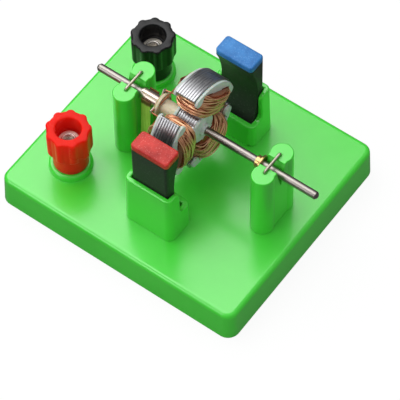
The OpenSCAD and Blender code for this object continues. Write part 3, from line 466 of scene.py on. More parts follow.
def finished(name, mesh, finish, body, stands_for, smooth_angle):
    """Links a mesh as a finished piece: its finish, its shading, its body and its solids."""
    mesh.name = name
    mesh.materials.clear()
    mesh.materials.append(FINISHES[finish])
    mesh.shade_smooth()
    mesh.set_sharp_from_angle(angle=math.radians(smooth_angle))
    piece = bpy.data.objects.new(name, mesh)
    bpy.context.scene.collection.objects.link(piece)
    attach(piece, body)
    if stands_for:
        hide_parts(*stands_for)
    return piece


def mesh_of(bm, name):
    """The mesh that was being built, as a mesh with a name."""
    mesh = bpy.data.meshes.new(name)
    bm.to_mesh(mesh)
    bm.free()
    return mesh


def joined_solid(nodes):
    """The given solids as one mesh of clean faces: doubles merged, flat faces made whole."""
    bm = bmesh.new()
    for node in nodes:
        bm.from_mesh(NODES[node].data)
    bmesh.ops.remove_doubles(bm, verts=bm.verts, dist=SAME_CORNER)
    bmesh.ops.dissolve_limit(
        bm, angle_limit=math.radians(FLAT_TURN), verts=bm.verts, edges=bm.edges,
        use_dissolve_boundaries=False, delimit={"NORMAL"},
    )
    return bm


def soften_edges(bm, width, segments, wanted=None):
    """Rounds the sharp edges, where wanted says so. The width is in millimetres."""
    edges = [
        edge for edge in bm.edges
        if len(edge.link_faces) == 2
        and edge.calc_face_angle(0) > math.radians(SHARP_TURN)
        and (wanted is None or wanted(edge))
    ]
    bmesh.ops.bevel(
        bm, geom=edges, offset=width * MM, offset_type="OFFSET", segments=segments,
        profile=0.5, affect="EDGES", clamp_overlap=True,
    )


def flat_faces_stay_flat(piece):
    """Weighs the shading normals by face size, then bakes that into the mesh."""
    weigh = piece.modifiers.new("weigh", "WEIGHTED_NORMAL")
    weigh.keep_sharp = True
    weigh.weight = 90
    weighed = piece.evaluated_get(bpy.context.evaluated_depsgraph_get())
    mesh = bpy.data.meshes.new_from_object(weighed)
    piece.modifiers.clear()
    old = piece.data
    piece.data = mesh
    bpy.data.meshes.remove(old)
    mesh.name = piece.name


def softened(name, nodes, finish, body, width, segments, wanted=None):
    """A piece with the shape of its solids and with edges rounded as on the real one."""
    bm = joined_solid(nodes)
    soften_edges(bm, width, segments, wanted)
    piece = finished(name, mesh_of(bm, name), finish, body, nodes, 45)
    flat_faces_stay_flat(piece)
    return piece


def lathe(rows, segments, centre, reach):
    """A turned form about an upright axis. Rows are (radius, height) in order along the
    profile. A row of radius 0 closes to a point, and a profile without one closes on itself.
    reach(radius, height, angle) gives the radius as the profile goes round."""
    bm = bmesh.new()
    rings = []
    for radius, height in rows:
        if radius == 0:
            rings.append([bm.verts.new((centre[0] * MM, centre[1] * MM, height * MM))])
            continue
        ring = []
        for step in range(segments):
            angle = 2 * math.pi * step / segments
            r = reach(radius, height, angle)
            ring.append(bm.verts.new((
                (centre[0] + r * math.cos(angle)) * MM,
                (centre[1] + r * math.sin(angle)) * MM,
                height * MM,
            )))
        rings.append(ring)
    if len(rings[0]) > 1 and len(rings[-1]) > 1:
        rings.append(rings[0])
    for low, high in zip(rings, rings[1:]):
        for step in range(segments):
            after = (step + 1) % segments
            corners = []
            for vert in (low[step % len(low)], low[after % len(low)],
                         high[after % len(high)], high[step % len(high)]):
                if vert not in corners:
                    corners.append(vert)
            bm.faces.new(corners)
    bmesh.ops.recalc_face_normals(bm, faces=bm.faces)
    return bm


def arc(centre, radius, start, end, steps):
    """Points of an arc in a profile, angles in degrees."""
    points = []
    for i in range(steps + 1):
        angle = math.radians(start + (end - start) * i / steps)
        points.append((
            centre[0] + radius * math.cos(angle), centre[1] + radius * math.sin(angle)
        ))
    return points


# ---- Geometry node trees ---------------------------------------------------------------------


def geometry_tree(name, inputs):
    """A geometry tree with named inputs. Returns it with its two end nodes."""
    tree = bpy.data.node_groups.new(name, "GeometryNodeTree")
    tree.interface.new_socket("Geometry", in_out="INPUT", socket_type="NodeSocketGeometry")
    for label, (kind, value) in inputs.items():
        socket = tree.interface.new_socket(label, in_out="INPUT", socket_type=kind)
        if value is not None:
            socket.default_value = value
    tree.interface.new_socket("Geometry", in_out="OUTPUT", socket_type="NodeSocketGeometry")
    return tree, tree.nodes.new("NodeGroupInput"), tree.nodes.new("NodeGroupOutput")


def grow(mesh, tree, **values):
    """Runs a geometry tree on a mesh and returns the plain mesh that comes out."""
    seed = bpy.data.objects.new("seed", mesh)
    bpy.context.scene.collection.objects.link(seed)
    modifier = seed.modifiers.new("grow", "NODES")
    modifier.node_group = tree
    for socket in tree.interface.items_tree:
        key = socket.name.replace(" ", "_")
        if socket.in_out == "INPUT" and key in values:
            modifier[socket.identifier] = values[key]
    seed.update_tag()
    bpy.context.view_layer.update()
    result = bpy.data.meshes.new_from_object(
        seed.evaluated_get(bpy.context.evaluated_depsgraph_get())
    )
    bpy.data.objects.remove(seed)
    bpy.data.meshes.remove(mesh)
    return result


def make_wire_tree():
    """Turns a line of points into round wire."""
    tree, given, result = geometry_tree("wire", {
        "Wire radius": ("NodeSocketFloat", 0.00025),
        "Sides": ("NodeSocketInt", 6),
        "Finish": ("NodeSocketMaterial", None),
    })
    curve = put(tree, "GeometryNodeMeshToCurve")
    tree.links.new(given.outputs["Geometry"], curve.inputs["Mesh"])
    circle = put(tree, "GeometryNodeCurvePrimitiveCircle")
    tree.links.new(given.outputs["Wire radius"], circle.inputs["Radius"])
    tree.links.new(given.outputs["Sides"], circle.inputs["Resolution"])
    tube = put(tree, "GeometryNodeCurveToMesh")
    tree.links.new(curve.outputs["Curve"], tube.inputs["Curve"])
    tree.links.new(circle.outputs["Curve"], tube.inputs["Profile Curve"])
    tube.inputs["Fill Caps"].default_value = True
    plain = put(tree, "GeometryNodeRealizeInstances")
    tree.links.new(tube.outputs["Mesh"], plain.inputs["Geometry"])
    clad = put(tree, "GeometryNodeSetMaterial")
    tree.links.new(plain.outputs["Geometry"], clad.inputs["Geometry"])
    tree.links.new(given.outputs["Finish"], clad.inputs["Material"])
    tree.links.new(clad.outputs["Geometry"], result.inputs["Geometry"])
    return tree


def make_stack_tree():
    """Stacks copies of one stamping along the shaft."""
    tree, given, result = geometry_tree("stack of laminations", {
        "Count": ("NodeSocketInt", 8),
        "Pitch": ("NodeSocketFloat", 0.001),
        "Finish": ("NodeSocketMaterial", None),
    })
    step = put(tree, "ShaderNodeCombineXYZ")
    tree.links.new(given.outputs["Pitch"], step.inputs["X"])
    line = put(tree, "GeometryNodeMeshLine")
    tree.links.new(given.outputs["Count"], line.inputs["Count"])
    tree.links.new(step.outputs[0], line.inputs["Offset"])
    copies = put(tree, "GeometryNodeInstanceOnPoints")
    tree.links.new(line.outputs["Mesh"], copies.inputs["Points"])
    tree.links.new(given.outputs["Geometry"], copies.inputs["Instance"])
    plain = put(tree, "GeometryNodeRealizeInstances")
    tree.links.new(copies.outputs["Instances"], plain.inputs["Geometry"])
    clad = put(tree, "GeometryNodeSetMaterial")
    tree.links.new(plain.outputs["Geometry"], clad.inputs["Geometry"])
    tree.links.new(given.outputs["Finish"], clad.inputs["Material"])
    tree.links.new(clad.outputs["Geometry"], result.inputs["Geometry"])
    return tree


wire_tree = make_wire_tree()
stack_tree = make_stack_tree()


def wire_mesh(points, radius, sides, finish, shades):
    """Round wire along points in millimetres. shades gives each point a number that the finish
    reads as its strand's tone and painted shade."""
    mesh = bpy.data.meshes.new("wire")
    mesh.from_pydata(
        [[c * MM for c in p] for p in points], [(i, i + 1) for i in range(len(points) - 1)], []
    )
    # The number holds random tone and the painted shade of the deeper layers.
    strand = mesh.attributes.new("strand", "FLOAT", "POINT")
    strand.data.foreach_set("value", shades)
    return grow(mesh, wire_tree, Wire_radius=radius * MM, Sides=sides, Finish=FINISHES[finish])


def together(meshes, name):
    """Several meshes as one."""
    bm = bmesh.new()
    for mesh in meshes:
        bm.from_mesh(mesh)
        bpy.data.meshes.remove(mesh)
    return mesh_of(bm, name)


# ---- Base ------------------------------------------------------------------------------------

tray_top = span("left_support")[0][2]
# An edge within this height of the tray's top, in millimetres, lies in it.
SEAM_BAND = 0.05


def stands_clear(edge):
    """Edges of the standing parts that don't lie in the tray's top."""
    height = max(v.co.z for v in edge.verts)
    return height > (tray_top + SEAM_BAND) * MM or height < (tray_top - SEAM_BAND) * MM


def moulded_base():
    """The green moulding: its tray, two shaft supports and two magnet pockets."""
    softened("moulded_tray", ["base"], "base_green", "base", 0.25, 2)
    for side in ("left", "right"):
        softened(
            side + "_shaft_support", [side + "_support"], "base_green", "base",
            0.25, 2, stands_clear,
        )
    for side in ("front", "back"):
        softened(
            side + "_magnet_pocket", [side + "_magnet_holder"], "base_green", "base",
            0.6, 4, stands_clear,
        )


# ---- Magnets ---------------------------------------------------------------------------------


def magnets():
    """The two arc magnets with their painted caps."""
    for side, paint in (("front", "cap_red"), ("back", "cap_blue")):
        body = side + "_magnet_piece"
        softened(side + "_arc_magnet", [side + "_magnet"], "magnet_dark", body, 0.35, 2)
        softened(side + "_painted_cap", [side + "_magnet_cap"], paint, body, 0.2, 2)


# ---- Rotor -----------------------------------------------------------------------------------

core_low, core_high = span("rotor_core")
core_mid_x = (core_low[0] + core_high[0]) / 2
shaft_low, shaft_high = span("shaft")
axis_z = (shaft_low[2] + shaft_high[2]) / 2

# The stampings, as in the solids: millimetres and degrees.
ROTOR_R = 20.5
POLE_ANGLE = 54.7
POLE_HALF_ARC = 45.5
LEG_HALF = 3.5
CORE_HUB_R = 5.6
SHOE_SEAT = 16.3
SHOE_FLAT = 9.4
SHOE_TIP_T = 1.8
SHEETS = 8
# What the punch leaves: rounded corners, a rolled edge and a gap to the next sheet.
LEG_CORNER = 1
TIP_CORNER = 0.4
EDGE_ROLL = 0.1
SHEET_GAP = 0.06
# The shoe's round face is drawn this far to each side, in this many steps.
FACE_HALF_ARC = 43.5
FACE_STEPS = 36
HUB_STEPS = 7


def at_pole(number, point):
    """A point of the pole frame (along the shaft, outwards, around) in the object's frame."""
    x, out, around = point
    turn = math.radians(POLE_ANGLE + 120 * (number - 1))
    return (
        core_mid_x + x,
        out * math.cos(turn) - around * math.sin(turn),
        axis_z + out * math.sin(turn) + around * math.cos(turn),
    )


def rounded_corner(before, corner, after, radius, steps):
    """A corner of an outline rounded by a quadratic bend."""
    before, corner, after = Vector(before), Vector(corner), Vector(after)
    a = corner + (before - corner).normalized() * radius
    b = corner + (after - corner).normalized() * radius
    return [
        tuple(a * (1 - t) ** 2 + corner * 2 * t * (1 - t) + b * t * t)
        for t in (i / steps for i in range(steps + 1))
    ]


def stamping_outline():
    """Outline of one lamination as (outwards, around) points, for all three poles."""
    tip_r = ROTOR_R - SHOE_TIP_T
    tip = math.radians(POLE_HALF_ARC)
    leg_foot = math.sqrt(CORE_HUB_R ** 2 - LEG_HALF ** 2)
    under_tip = (tip_r * math.cos(tip), -tip_r * math.sin(tip))
    over_tip = (ROTOR_R * math.cos(tip), -ROTOR_R * math.sin(tip))
    side = [(leg_foot, -LEG_HALF)]
    seat_edge = (SHOE_SEAT, -SHOE_FLAT)
    over_face = (ROTOR_R, -ROTOR_R * math.tan(tip / 2))
    side += rounded_corner(
        (leg_foot, -LEG_HALF), (SHOE_SEAT, -LEG_HALF), seat_edge, LEG_CORNER, 4
    )
    side += [seat_edge]
    side += rounded_corner(seat_edge, under_tip, over_tip, TIP_CORNER, 3)
    side += rounded_corner(under_tip, over_tip, over_face, TIP_CORNER, 3)
    face = arc((0, 0), ROTOR_R, -FACE_HALF_ARC, FACE_HALF_ARC, FACE_STEPS)
    pole = side + face + [(out, -around) for out, around in reversed(side)]
    hub_start = math.degrees(math.atan2(LEG_HALF, leg_foot))
    hub = arc((0, 0), CORE_HUB_R, hub_start, 120 - hub_start, HUB_STEPS)[1:-1]
    outline = []
    for number in range(3):
        turn = math.radians(POLE_ANGLE + 120 * number)
        for out, around in pole + hub:
            outline.append((
                out * math.cos(turn) - around * math.sin(turn),
                out * math.sin(turn) + around * math.cos(turn),
            ))
    return outline


def lamination_stack():
    """The punched sheets, each with the rolled edge that the punch leaves."""
    pitch = (core_high[0] - core_low[0]) / SHEETS
    thickness = pitch - SHEET_GAP
    roll = EDGE_ROLL
    outline = stamping_outline()
    bm = bmesh.new()
    rings = []
    for depth, inset in ((0, roll), (roll / 2, roll / 4), (roll, 0), (thickness - roll, 0),
                         (thickness - roll / 2, roll / 4), (thickness, roll)):
        ring = []
        for index, (y, z) in enumerate(outline):
            before = Vector(outline[index - 1])
            after = Vector(outline[(index + 1) % len(outline)])
            along = (after - before).normalized()
            ring.append(bm.verts.new((
                (core_low[0] + depth) * MM,
                (y - along.y * inset) * MM,
                (axis_z + z + along.x * inset) * MM,
            )))
        rings.append(ring)
    for low, high in zip(rings, rings[1:]):
        for index in range(len(outline)):
            after = (index + 1) % len(outline)
            bm.faces.new((low[index], low[after], high[after], high[index]))
    bm.faces.new(list(reversed(rings[0])))
    bm.faces.new(rings[-1])
    bmesh.ops.recalc_face_normals(bm, faces=bm.faces)
    mesh = grow(
        mesh_of(bm, "stamping"), stack_tree,
        Count=SHEETS, Pitch=pitch * MM, Finish=FINISHES["lamination_steel"],
    )
    finished("lamination_stack", mesh, "lamination_steel", "rotor", ["rotor_core"], 50)


# A coil's section: half sizes at its inner end, how it widens outwards, and its radial reach.
COIL_HALF_X = 6.6
COIL_HALF_Z = 7.5
COIL_FLARE = math.tan(math.radians(8))
COIL_START = 5.9
COIL_END = 16.1
COIL_SQUARENESS = 2 / 3
# How much a coil bulges in its middle and draws in at its inner end.
COIL_BULGE = 0.35
INNER_DRAW = 1.1
INNER_DRAW_SHARE = 1 / 4
# The imported layers inside lie this deep under the strands, in a darker copper that is painted
# shade.
CORE_DEPTH = 0.4
CORE_LEVELS = 10
CORE_PAINTED_SHADE = 0.1
WIRE_R = 0.3
TURN_STEPS = 36
# The layers of strands: how proud, how many turns, whether wound inwards, and how bright.
# The deeper layers' lower brightness is painted shade between the outer strands.
LAYERS = ((-0.3, 13, False, 0.05), (0.05, 12, True, 0.35), (0.4, 11, False, 1.15))
# Where a layer's first turn lies past the coil's inner end, and what is left free in all.
FIRST_TURN = 0.5
FREE_LENGTH = 0.75
# How far the strands stray along the pole, lift off the layer, and differ in tone.
STRAY = 1.0
SWAY = 0.4
LIFT = 0.55
TONE_SPREAD = 1.4


def coil_section(out, proud, angle):
    """Place on a coil's rounded section at a radial place, standing proud of the core."""
    share = (out - COIL_START) / (COIL_END - COIL_START)
    share = min(max(share, 0), 1)
    draw = max(0.0, 1 - share / INNER_DRAW_SHARE) ** 2
    swell = proud + COIL_BULGE * math.sin(math.pi * share) - INNER_DRAW * draw
    widen = (out - COIL_START) * COIL_FLARE + swell
    c, s = math.cos(angle), math.sin(angle)
    return (
        math.copysign(abs(s) ** COIL_SQUARENESS, s) * (COIL_HALF_X + widen),
        math.copysign(abs(c) ** COIL_SQUARENESS, c) * (COIL_HALF_Z + widen),
    )


def coil_core(number):
    """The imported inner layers: a closed lofted body under the strands."""
    bm = bmesh.new()
    rings = []
    core_start = COIL_START - 0.1
    for level in range(CORE_LEVELS + 1):
        out = core_start + (COIL_END - core_start) * level / CORE_LEVELS
        ring = []
        for step in range(TURN_STEPS):
            x, around = coil_section(out, -CORE_DEPTH, 2 * math.pi * step / TURN_STEPS)
            ring.append(bm.verts.new([c * MM for c in at_pole(number, (x, out, around))]))
        rings.append(ring)
    for low, high in zip(rings, rings[1:]):
        for step in range(TURN_STEPS):
            after = (step + 1) % TURN_STEPS
            bm.faces.new((low[step], low[after], high[after], high[step]))
    bm.faces.new(list(reversed(rings[0])))
    bm.faces.new(rings[-1])
    bmesh.ops.recalc_face_normals(bm, faces=bm.faces)
    mesh = mesh_of(bm, "core")
    # The core's dark tone is painted shade under the strands.
    strand = mesh.attributes.new("strand", "FLOAT", "POINT")
    strand.data.foreach_set("value", [CORE_PAINTED_SHADE] * len(mesh.vertices))
    return mesh


def smooth_run(a, leave, b, arrive, steps):
    """Points between two places, leaving and arriving in the given directions."""
    a, leave, b, arrive = Vector(a), Vector(leave), Vector(b), Vector(arrive)
    points = []
    for i in range(1, steps):
        t = i / steps
        s = 1 - t
        place = s * s * (1 + 2 * t) * a + s * s * t * leave
        place = place + t * t * (1 + 2 * s) * b - t * t * s * arrive
        points.append(tuple(place))
    return points


def coil_turns(number):
    """The strands of one coil: three layers wound out, in and out again, each a little
    uneven, as a hand-fed winder lays them. The noise is read on a circle, so a strand strays
    smoothly all the way round, and each coil and lap reads its own part of it."""
    points, shades = [], []
    turn_index = 0
    start_angle = -math.pi / 2
    wound_length = COIL_END - COIL_START - FREE_LENGTH
    for proud, turns, inwards, layer_shade in LAYERS:
        total = turns * TURN_STEPS
        for step in range(total):
            share = step / total
            out = COIL_START + FIRST_TURN + wound_length * (1 - share if inwards else share)
            angle = start_angle + 2 * math.pi * step / TURN_STEPS
            lap = turn_index + step / TURN_STEPS
            c, s = math.cos(angle), math.sin(angle)
            wander = noise.noise((3.1 * number + 1.3 * c, 1.3 * s, 0.83 * lap))
            lift = noise.noise((7.7 * number + 1.1 * c, 1.1 * s, 0.71 * lap + 40))
            out += STRAY * wander + SWAY * math.sin(2 * angle + 9 * proud)
            out = min(max(out, COIL_START + 0.15), COIL_END - 0.1)
            x, around = coil_section(out, proud + LIFT * lift, angle)
            points.append((x, out, around))
            # A layer's brightness paints shade on the deeper layers; the noise varies each lap's
            # tone at random.
            turn_place = (5.3 * number + 1.5 * c, 0.83 * math.floor(lap), proud * 9 + 1.5 * s)
            shade = layer_shade + TONE_SPREAD * noise.noise(turn_place)
            shades.append(min(max(shade, 0.0), 1.0))
        turn_index += turns
    return points, shades


# The leads run to the commutator's risers, behind the fibre washer.
riser_back = span("fibre_washer")[0][0]
LEAD_R = 5.6
LEAD_TONE = 0.15
# How far round the next riser takes its lead, in degrees.
NEXT_LEAD = 117


def coil_winding(number):
    """One coil: its packed core, its strands, and the two leads to the risers."""
    points, shades = coil_turns(number)
    riser = (riser_back - core_mid_x - 0.3, LEAD_R, 0)
    first = points[0]
    lead_in = [riser] + smooth_run(riser, (5, 0.5, 0), first, (0, 0, 4), 10)
    onward = math.radians(NEXT_LEAD)
    next_riser = (riser[0], LEAD_R * math.cos(onward), LEAD_R * math.sin(onward))
    last = points[-1]
    lead_out = smooth_run(last, (-3, -3, 5), next_riser, (-5, -1, 0), 22) + [next_riser]
    path = lead_in + points + lead_out
    tones = [LEAD_TONE] * len(lead_in) + shades + [LEAD_TONE] * len(lead_out)
    strands = wire_mesh([at_pole(number, p) for p in path], WIRE_R, 6, "copper_wire", tones)
    mesh = together([coil_core(number), strands], "winding")
    finished(
        f"winding_{number}", mesh, "copper_wire", "rotor",
        [f"coil_{number}", f"outer_turns_{number}"], 60,
    )


# A solder blob: where it starts and ends behind the risers, and its half sizes.
SOLDER_LOW = -0.75
SOLDER_HIGH = 0.25
SOLDER_SWELL = 0.62
SOLDER_OUT = 0.5
SOLDER_AROUND = 0.9
SOLDER_LUMPS = 0.22


def solder_joint(number):
    """A blob of solder that holds the leads to a riser."""
    bm = bmesh.new()
    bmesh.ops.create_icosphere(bm, subdivisions=3, radius=1)
    low, high = (riser_back - core_mid_x + end for end in (SOLDER_LOW, SOLDER_HIGH))
    for vert in bm.verts:
        lump = 1 + SOLDER_LUMPS * noise.noise(vert.co * 1.7 + Vector((9.1 * number, 0, 0)))
        x = (low + high) / 2 + vert.co.x * (high - low) * SOLDER_SWELL * lump
        out = LEAD_R - 0.1 + vert.co.y * SOLDER_OUT * lump
        around = vert.co.z * SOLDER_AROUND * lump
        vert.co = [c * MM for c in at_pole(number, (x, out, around))]
    finished(f"solder_joint_{number}", mesh_of(bm, "solder"), "plated_steel", "rotor", (), 80)


def rotor():
    """Everything that turns with the shaft."""
    softened("motor_shaft", ["shaft"], "shaft_steel", "rotor", 0.12, 2)
    softened("brass_collar", ["thrust_collar"], "brass", "rotor", 0.2, 2)
    lamination_stack()
    softened("inner_insulator", ["inner_end_plate"], "end_plate_grey", "rotor", 0.25, 2)
    softened("outer_insulator", ["outer_end_plate"], "end_plate_grey", "rotor", 0.25, 2)
    for number in (1, 2, 3):
        coil_winding(number)
        solder_joint(number)
        softened(
            f"copper_segment_{number}", [f"commutator_segment_{number}"],
            "commutator_copper", "rotor", 0.08, 2,
        )
    softened("moulded_hub", ["commutator_hub"], "hub_cream", "rotor", 0.15, 2)
    softened("fibre_ring", ["fibre_washer"], "fibre_tan", "rotor", 0.1, 2)


# ---- Brushes, clips and the strips underneath ------------------------------------------------


def springs_and_strips():
    """The shaft's clips, the brushes, and what holds and joins them under the tray."""
    for side in ("left", "right"):
        softened(
            side + "_wire_clip", [side + "_shaft_clip"], "bright_wire", side + "_clip", 0.1, 2
        )
    for side in ("front", "back"):
        softened(
            side + "_brush_blade", [side + "_brush"], "brush_bronze", side + "_blade", 0.06, 2
        )
        softened(side + "_brush_tail", [side + "_brush_foot"], "brush_bronze", "base", 0.06, 2)
        softened(side + "_brass_strip", [side + "_contact_strip"], "brass", "base", 0.1, 2)
    softened("strip_screws", ["brush_screws"], "plated_steel", "base", 0.2, 3)
    softened("post_washers", ["terminal_washers"], "plated_steel", "base", 0.12, 2)
    softened("post_nuts", ["terminal_nuts"], "plated_steel", "base", 0.3, 2)


# ---- Terminals -------------------------------------------------------------------------------

# The knob, in millimetres: lobed grip, round skirt, recess, hole for the insert and bore.
LOBES = 9
KNOB_TIP_R = 8.9
KNOB_BODY_R = 8.1
LOBE_R = 1.9
SKIRT_R = 6.9
GRIP_H = 12.7
KNOB_CROWN = 0.8
RECESS_R = 5.0
RECESS_MOUTH = 0.6
RECESS_DEPTH = 7.5
BORE_R = 3.1
INSERT_HOLE_R = 4.15
INSERT_LENGTH = 9.5
KNOB_SEGMENTS = LOBES * 20
VALLEY_SHARPNESS = 9.0
# The soft valleys swell the grip a little, so it is drawn this much smaller.
GRIP_INSET = 0.02
# The post: its flange over the tray's top, its thread outside and its plug socket inside.
FLANGE_TOP = 2.9
FLANGE_T = 1.2
POST_R = 3.0
SOCKET_R = 2.05
SOCKET_DEPTH = 19
THREAD_PITCH = 1.0
THREAD_DEPTH = 0.22
POST_SEGMENTS = 48


def lobed_reach(angle):
    """Radius of the knob's grip: round lobes with soft valleys between them."""
    step = 2 * math.pi / LOBES
    off = (angle + step / 2) % step - step / 2
    middle = KNOB_TIP_R - LOBE_R
    inside = LOBE_R ** 2 - (middle * math.sin(off)) ** 2
    lobe = middle * math.cos(off) + math.sqrt(inside) if inside > 0 else 0
    blend = math.log(math.exp(VALLEY_SHARPNESS * (lobe - KNOB_BODY_R)) + 1)
    return blend / VALLEY_SHARPNESS + KNOB_BODY_R - GRIP_INSET


def terminal_knob(side):
    """A lobed knob on a round skirt, with a recess over the post's plug socket."""
    low, high = span(side + "_terminal_knob")
    centre = ((low[0] + high[0]) / 2, (low[1] + high[1]) / 2)
    foot, top = low[2], high[2]
    skirt_top = top - GRIP_H
    flare = KNOB_TIP_R - SKIRT_R
    floor = top - RECESS_DEPTH
    crown, mouth = KNOB_CROWN, RECESS_MOUTH
    grip_low = skirt_top + flare
    rows = [(SKIRT_R - 0.3, foot), (SKIRT_R - 0.08, foot + 0.08), (SKIRT_R, foot + 0.35)]
    rows += [(SKIRT_R, foot + (skirt_top - foot) * i / 4) for i in range(1, 4)]
    rows += arc((SKIRT_R, grip_low), flare, -90, 0, 10)
    rows += [(KNOB_TIP_R, grip_low + (top - grip_low - crown) * i / 5) for i in range(1, 6)]
    rows += arc((KNOB_TIP_R - crown, top - crown), crown, 15, 90, 6)
    rows += arc((RECESS_R + mouth, top - mouth), mouth, 90, 180, 6)
    rows += [(RECESS_R, floor + 0.3), (RECESS_R - 0.1, floor + 0.08), (RECESS_R - 0.35, floor)]
    rows += [(INSERT_HOLE_R, floor), (INSERT_HOLE_R, floor - INSERT_LENGTH)]
    rows += [(BORE_R, floor - INSERT_LENGTH), (BORE_R, foot)]

    def grip(radius, height, angle):
        if radius <= SKIRT_R or height < skirt_top:
            return radius
        limit = lobed_reach(angle)
        inset = max(0.0, KNOB_TIP_R - radius)
        if height > top - crown - 0.01:
            return min(radius, limit - inset * 0.9)
        return min(radius, limit)

    mesh = mesh_of(lathe(rows, KNOB_SEGMENTS, centre, grip), "knob")
    colour = "knob_red" if side == "front" else "knob_black"
    finished(side + "_lobed_knob", mesh, colour, side + "_knob", [side + "_terminal_knob"], 40)


def socket_post(side):
    """Threaded post: a coarse thread outside, a plain plug socket inside, a seat flange."""
    low, high = span(side + "_socket_post")
    centre = ((low[0] + high[0]) / 2, (low[1] + high[1]) / 2)
    foot, top = low[2], high[2]
    flange_top = tray_top + FLANGE_TOP
    flange_low = flange_top - FLANGE_T
    flange_r = (high[0] - low[0]) / 2
    outer, inner = POST_R, SOCKET_R

    def threaded(start, end, steps):
        return [(outer, start + (end - start) * i / steps) for i in range(1, steps)]

    rows = [(0, foot), (outer - 0.4, foot), (outer, foot + 0.3)]
    rows += threaded(foot + 0.3, flange_low, 60)
    rows += [(outer, flange_low), (flange_r - 0.15, flange_low), (flange_r, flange_low + 0.15)]
    rows += [(flange_r, flange_top - 0.15), (flange_r - 0.15, flange_top), (outer, flange_top)]
    rows += threaded(flange_top, top - 0.35, 130)
    rows += [(outer - 0.02, top - 0.3), (outer - 0.3, top), (inner + 0.25, top)]
    rows += [(inner, top - 0.25), (inner, top - SOCKET_DEPTH + 0.2)]
    rows += [(inner - 0.3, top - SOCKET_DEPTH), (0, top - SOCKET_DEPTH)]

    def thread(radius, height, angle):
        if radius != outer or abs(height - flange_low) < 0.2:
            return radius
        turn = (height / THREAD_PITCH - angle / (2 * math.pi)) % 1
        return radius - THREAD_DEPTH * 2 * abs(turn - 0.5)

    mesh = mesh_of(lathe(rows, POST_SEGMENTS, centre, thread), "post")
    finished(side + "_plug_post", mesh, "socket_nickel", "base", [side + "_socket_post"], 50)


def terminals():
    """The two terminals: a knob and its insert on a post each."""
    for side in ("front", "back"):
        terminal_knob(side)
        socket_post(side)
        softened(
            side + "_brass_insert", [side + "_threaded_insert"], "insert_brass",
            side + "_insert", 0.15, 2,
        )


# ---- Studio ----------------------------------------------------------------------------------


# The floor: half its side and how far it lies under the object, in metres.
FLOOR_HALF = 6
FLOOR_DROP = 0.00005
# Share of the floor that is its own light for the camera; the rest keeps the shadow.
FLOOR_LIGHT = 0.92
# What the camera sees of the floor, and what lights and reflects in the object.
FLOOR_SHOWN = (0.94, 0.94, 0.94)
FLOOR_DEEP = (0.32, 0.32, 0.32)
FLOOR_PALE = (0.36, 0.36, 0.36)
FLOOR_REFLECTED = 0.1
# Strength of the world's light, and how bright it looks in a reflection, from the first
# height of the direction to the second.
FILL = 0.64
SKY_REFLECTED = (0.04, 0.6)
SKY_HEIGHTS = (0.25, 1.0)


def bounced_rays(tree, ray):
    """1 for the rays that a surface reflects or lets through, and 0 for others."""
    bounce = put(tree, "ShaderNodeMath", {"operation": "MAXIMUM"})
    tree.links.new(ray.outputs["Is Glossy Ray"], bounce.inputs[0])
    tree.links.new(ray.outputs["Is Transmission Ray"], bounce.inputs[1])
    return bounce.outputs[0]


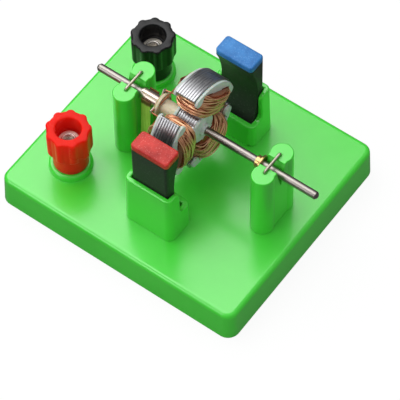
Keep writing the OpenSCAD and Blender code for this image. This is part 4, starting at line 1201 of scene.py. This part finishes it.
def pale_floor():
    """A white floor under the object's shadow, dimmer in the object's gloss."""
    bm = bmesh.new()
    bmesh.ops.create_grid(bm, x_segments=1, y_segments=1, size=FLOOR_HALF)
    bmesh.ops.translate(bm, verts=bm.verts, vec=(0, 0, -FLOOR_DROP))
    floor = bpy.data.objects.new("floor", mesh_of(bm, "floor"))
    finish = bpy.data.materials.new("floor")
    finish.use_nodes = True
    tree = finish.node_tree
    shader = tree.nodes["Principled BSDF"]
    shader.inputs["Roughness"].default_value = 0.9
    shader.inputs["Specular IOR Level"].default_value = 0.1
    grain = put(tree, "ShaderNodeTexNoise", Vector=object_place(tree), Scale=300.0)
    ray = tree.nodes.new("ShaderNodeLightPath")
    cloudy = blend_colours(tree, grain.outputs["Fac"], FLOOR_DEEP, FLOOR_PALE)
    colour = blend_colours(tree, ray.outputs["Is Camera Ray"], cloudy, FLOOR_SHOWN)
    tree.links.new(colour, shader.inputs["Base Color"])
    strength = between(tree, ray.outputs["Is Camera Ray"], FLOOR_REFLECTED, 1.0)
    white = put(tree, "ShaderNodeEmission", Color=(1, 1, 1, 1), Strength=strength)
    seen = put(tree, "ShaderNodeMath", {"operation": "MAXIMUM"})
    tree.links.new(ray.outputs["Is Camera Ray"], seen.inputs[0])
    tree.links.new(bounced_rays(tree, ray), seen.inputs[1])
    share = put(tree, "ShaderNodeMath", {"operation": "MULTIPLY"})
    tree.links.new(seen.outputs[0], share.inputs[0])
    share.inputs[1].default_value = FLOOR_LIGHT
    mix = put(tree, "ShaderNodeMixShader")
    tree.links.new(share.outputs[0], mix.inputs[0])
    tree.links.new(shader.outputs[0], mix.inputs[1])
    tree.links.new(white.outputs[0], mix.inputs[2])
    tree.links.new(mix.outputs[0], tree.nodes["Material Output"].inputs["Surface"])
    floor.data.materials.append(finish)
    bpy.context.scene.collection.objects.link(floor)


def studio():
    """A world that is white to the camera and dimmer in the gloss, and two soft panels."""
    world = bpy.data.worlds.new("studio")
    bpy.context.scene.world = world
    world.use_nodes = True
    tree = world.node_tree
    fill = tree.nodes["Background"]
    fill.inputs["Color"].default_value = (1, 1, 1, 1)
    fill.inputs["Strength"].default_value = FILL
    direction = tree.nodes.new("ShaderNodeTexCoord").outputs["Generated"]
    height = put(tree, "ShaderNodeSeparateXYZ", Vector=direction)
    glow = between(tree, height.outputs["Z"], *SKY_REFLECTED, *SKY_HEIGHTS)
    ray = tree.nodes.new("ShaderNodeLightPath")
    white = put(tree, "ShaderNodeMath", {"operation": "MAXIMUM"})
    tree.links.new(ray.outputs["Is Camera Ray"], white.inputs[0])
    tree.links.new(glow, white.inputs[1])
    shown = put(tree, "ShaderNodeBackground", Color=(1, 1, 1, 1), Strength=white.outputs[0])
    seen = put(tree, "ShaderNodeMath", {"operation": "ADD", "use_clamp": True})
    tree.links.new(ray.outputs["Is Camera Ray"], seen.inputs[0])
    tree.links.new(bounced_rays(tree, ray), seen.inputs[1])
    mix = put(tree, "ShaderNodeMixShader")
    tree.links.new(seen.outputs[0], mix.inputs[0])
    tree.links.new(fill.outputs[0], mix.inputs[1])
    tree.links.new(shown.outputs[0], mix.inputs[2])
    tree.links.new(mix.outputs[0], tree.nodes["World Output"].inputs["Surface"])
    soft_panel("overhead_panel", (-0.5, 0.08, 0.86), distance=1.1, size=1.12, radiance=2.6)
    soft_panel("front_panel", (-0.4, -0.8, 0.45), distance=1.2, size=0.45, radiance=3.8)


photo_camera()
moulded_base()
magnets()
rotor()
springs_and_strips()
terminals()
pale_floor()
studio()
bpy.context.scene.view_settings.view_transform = "Standard"
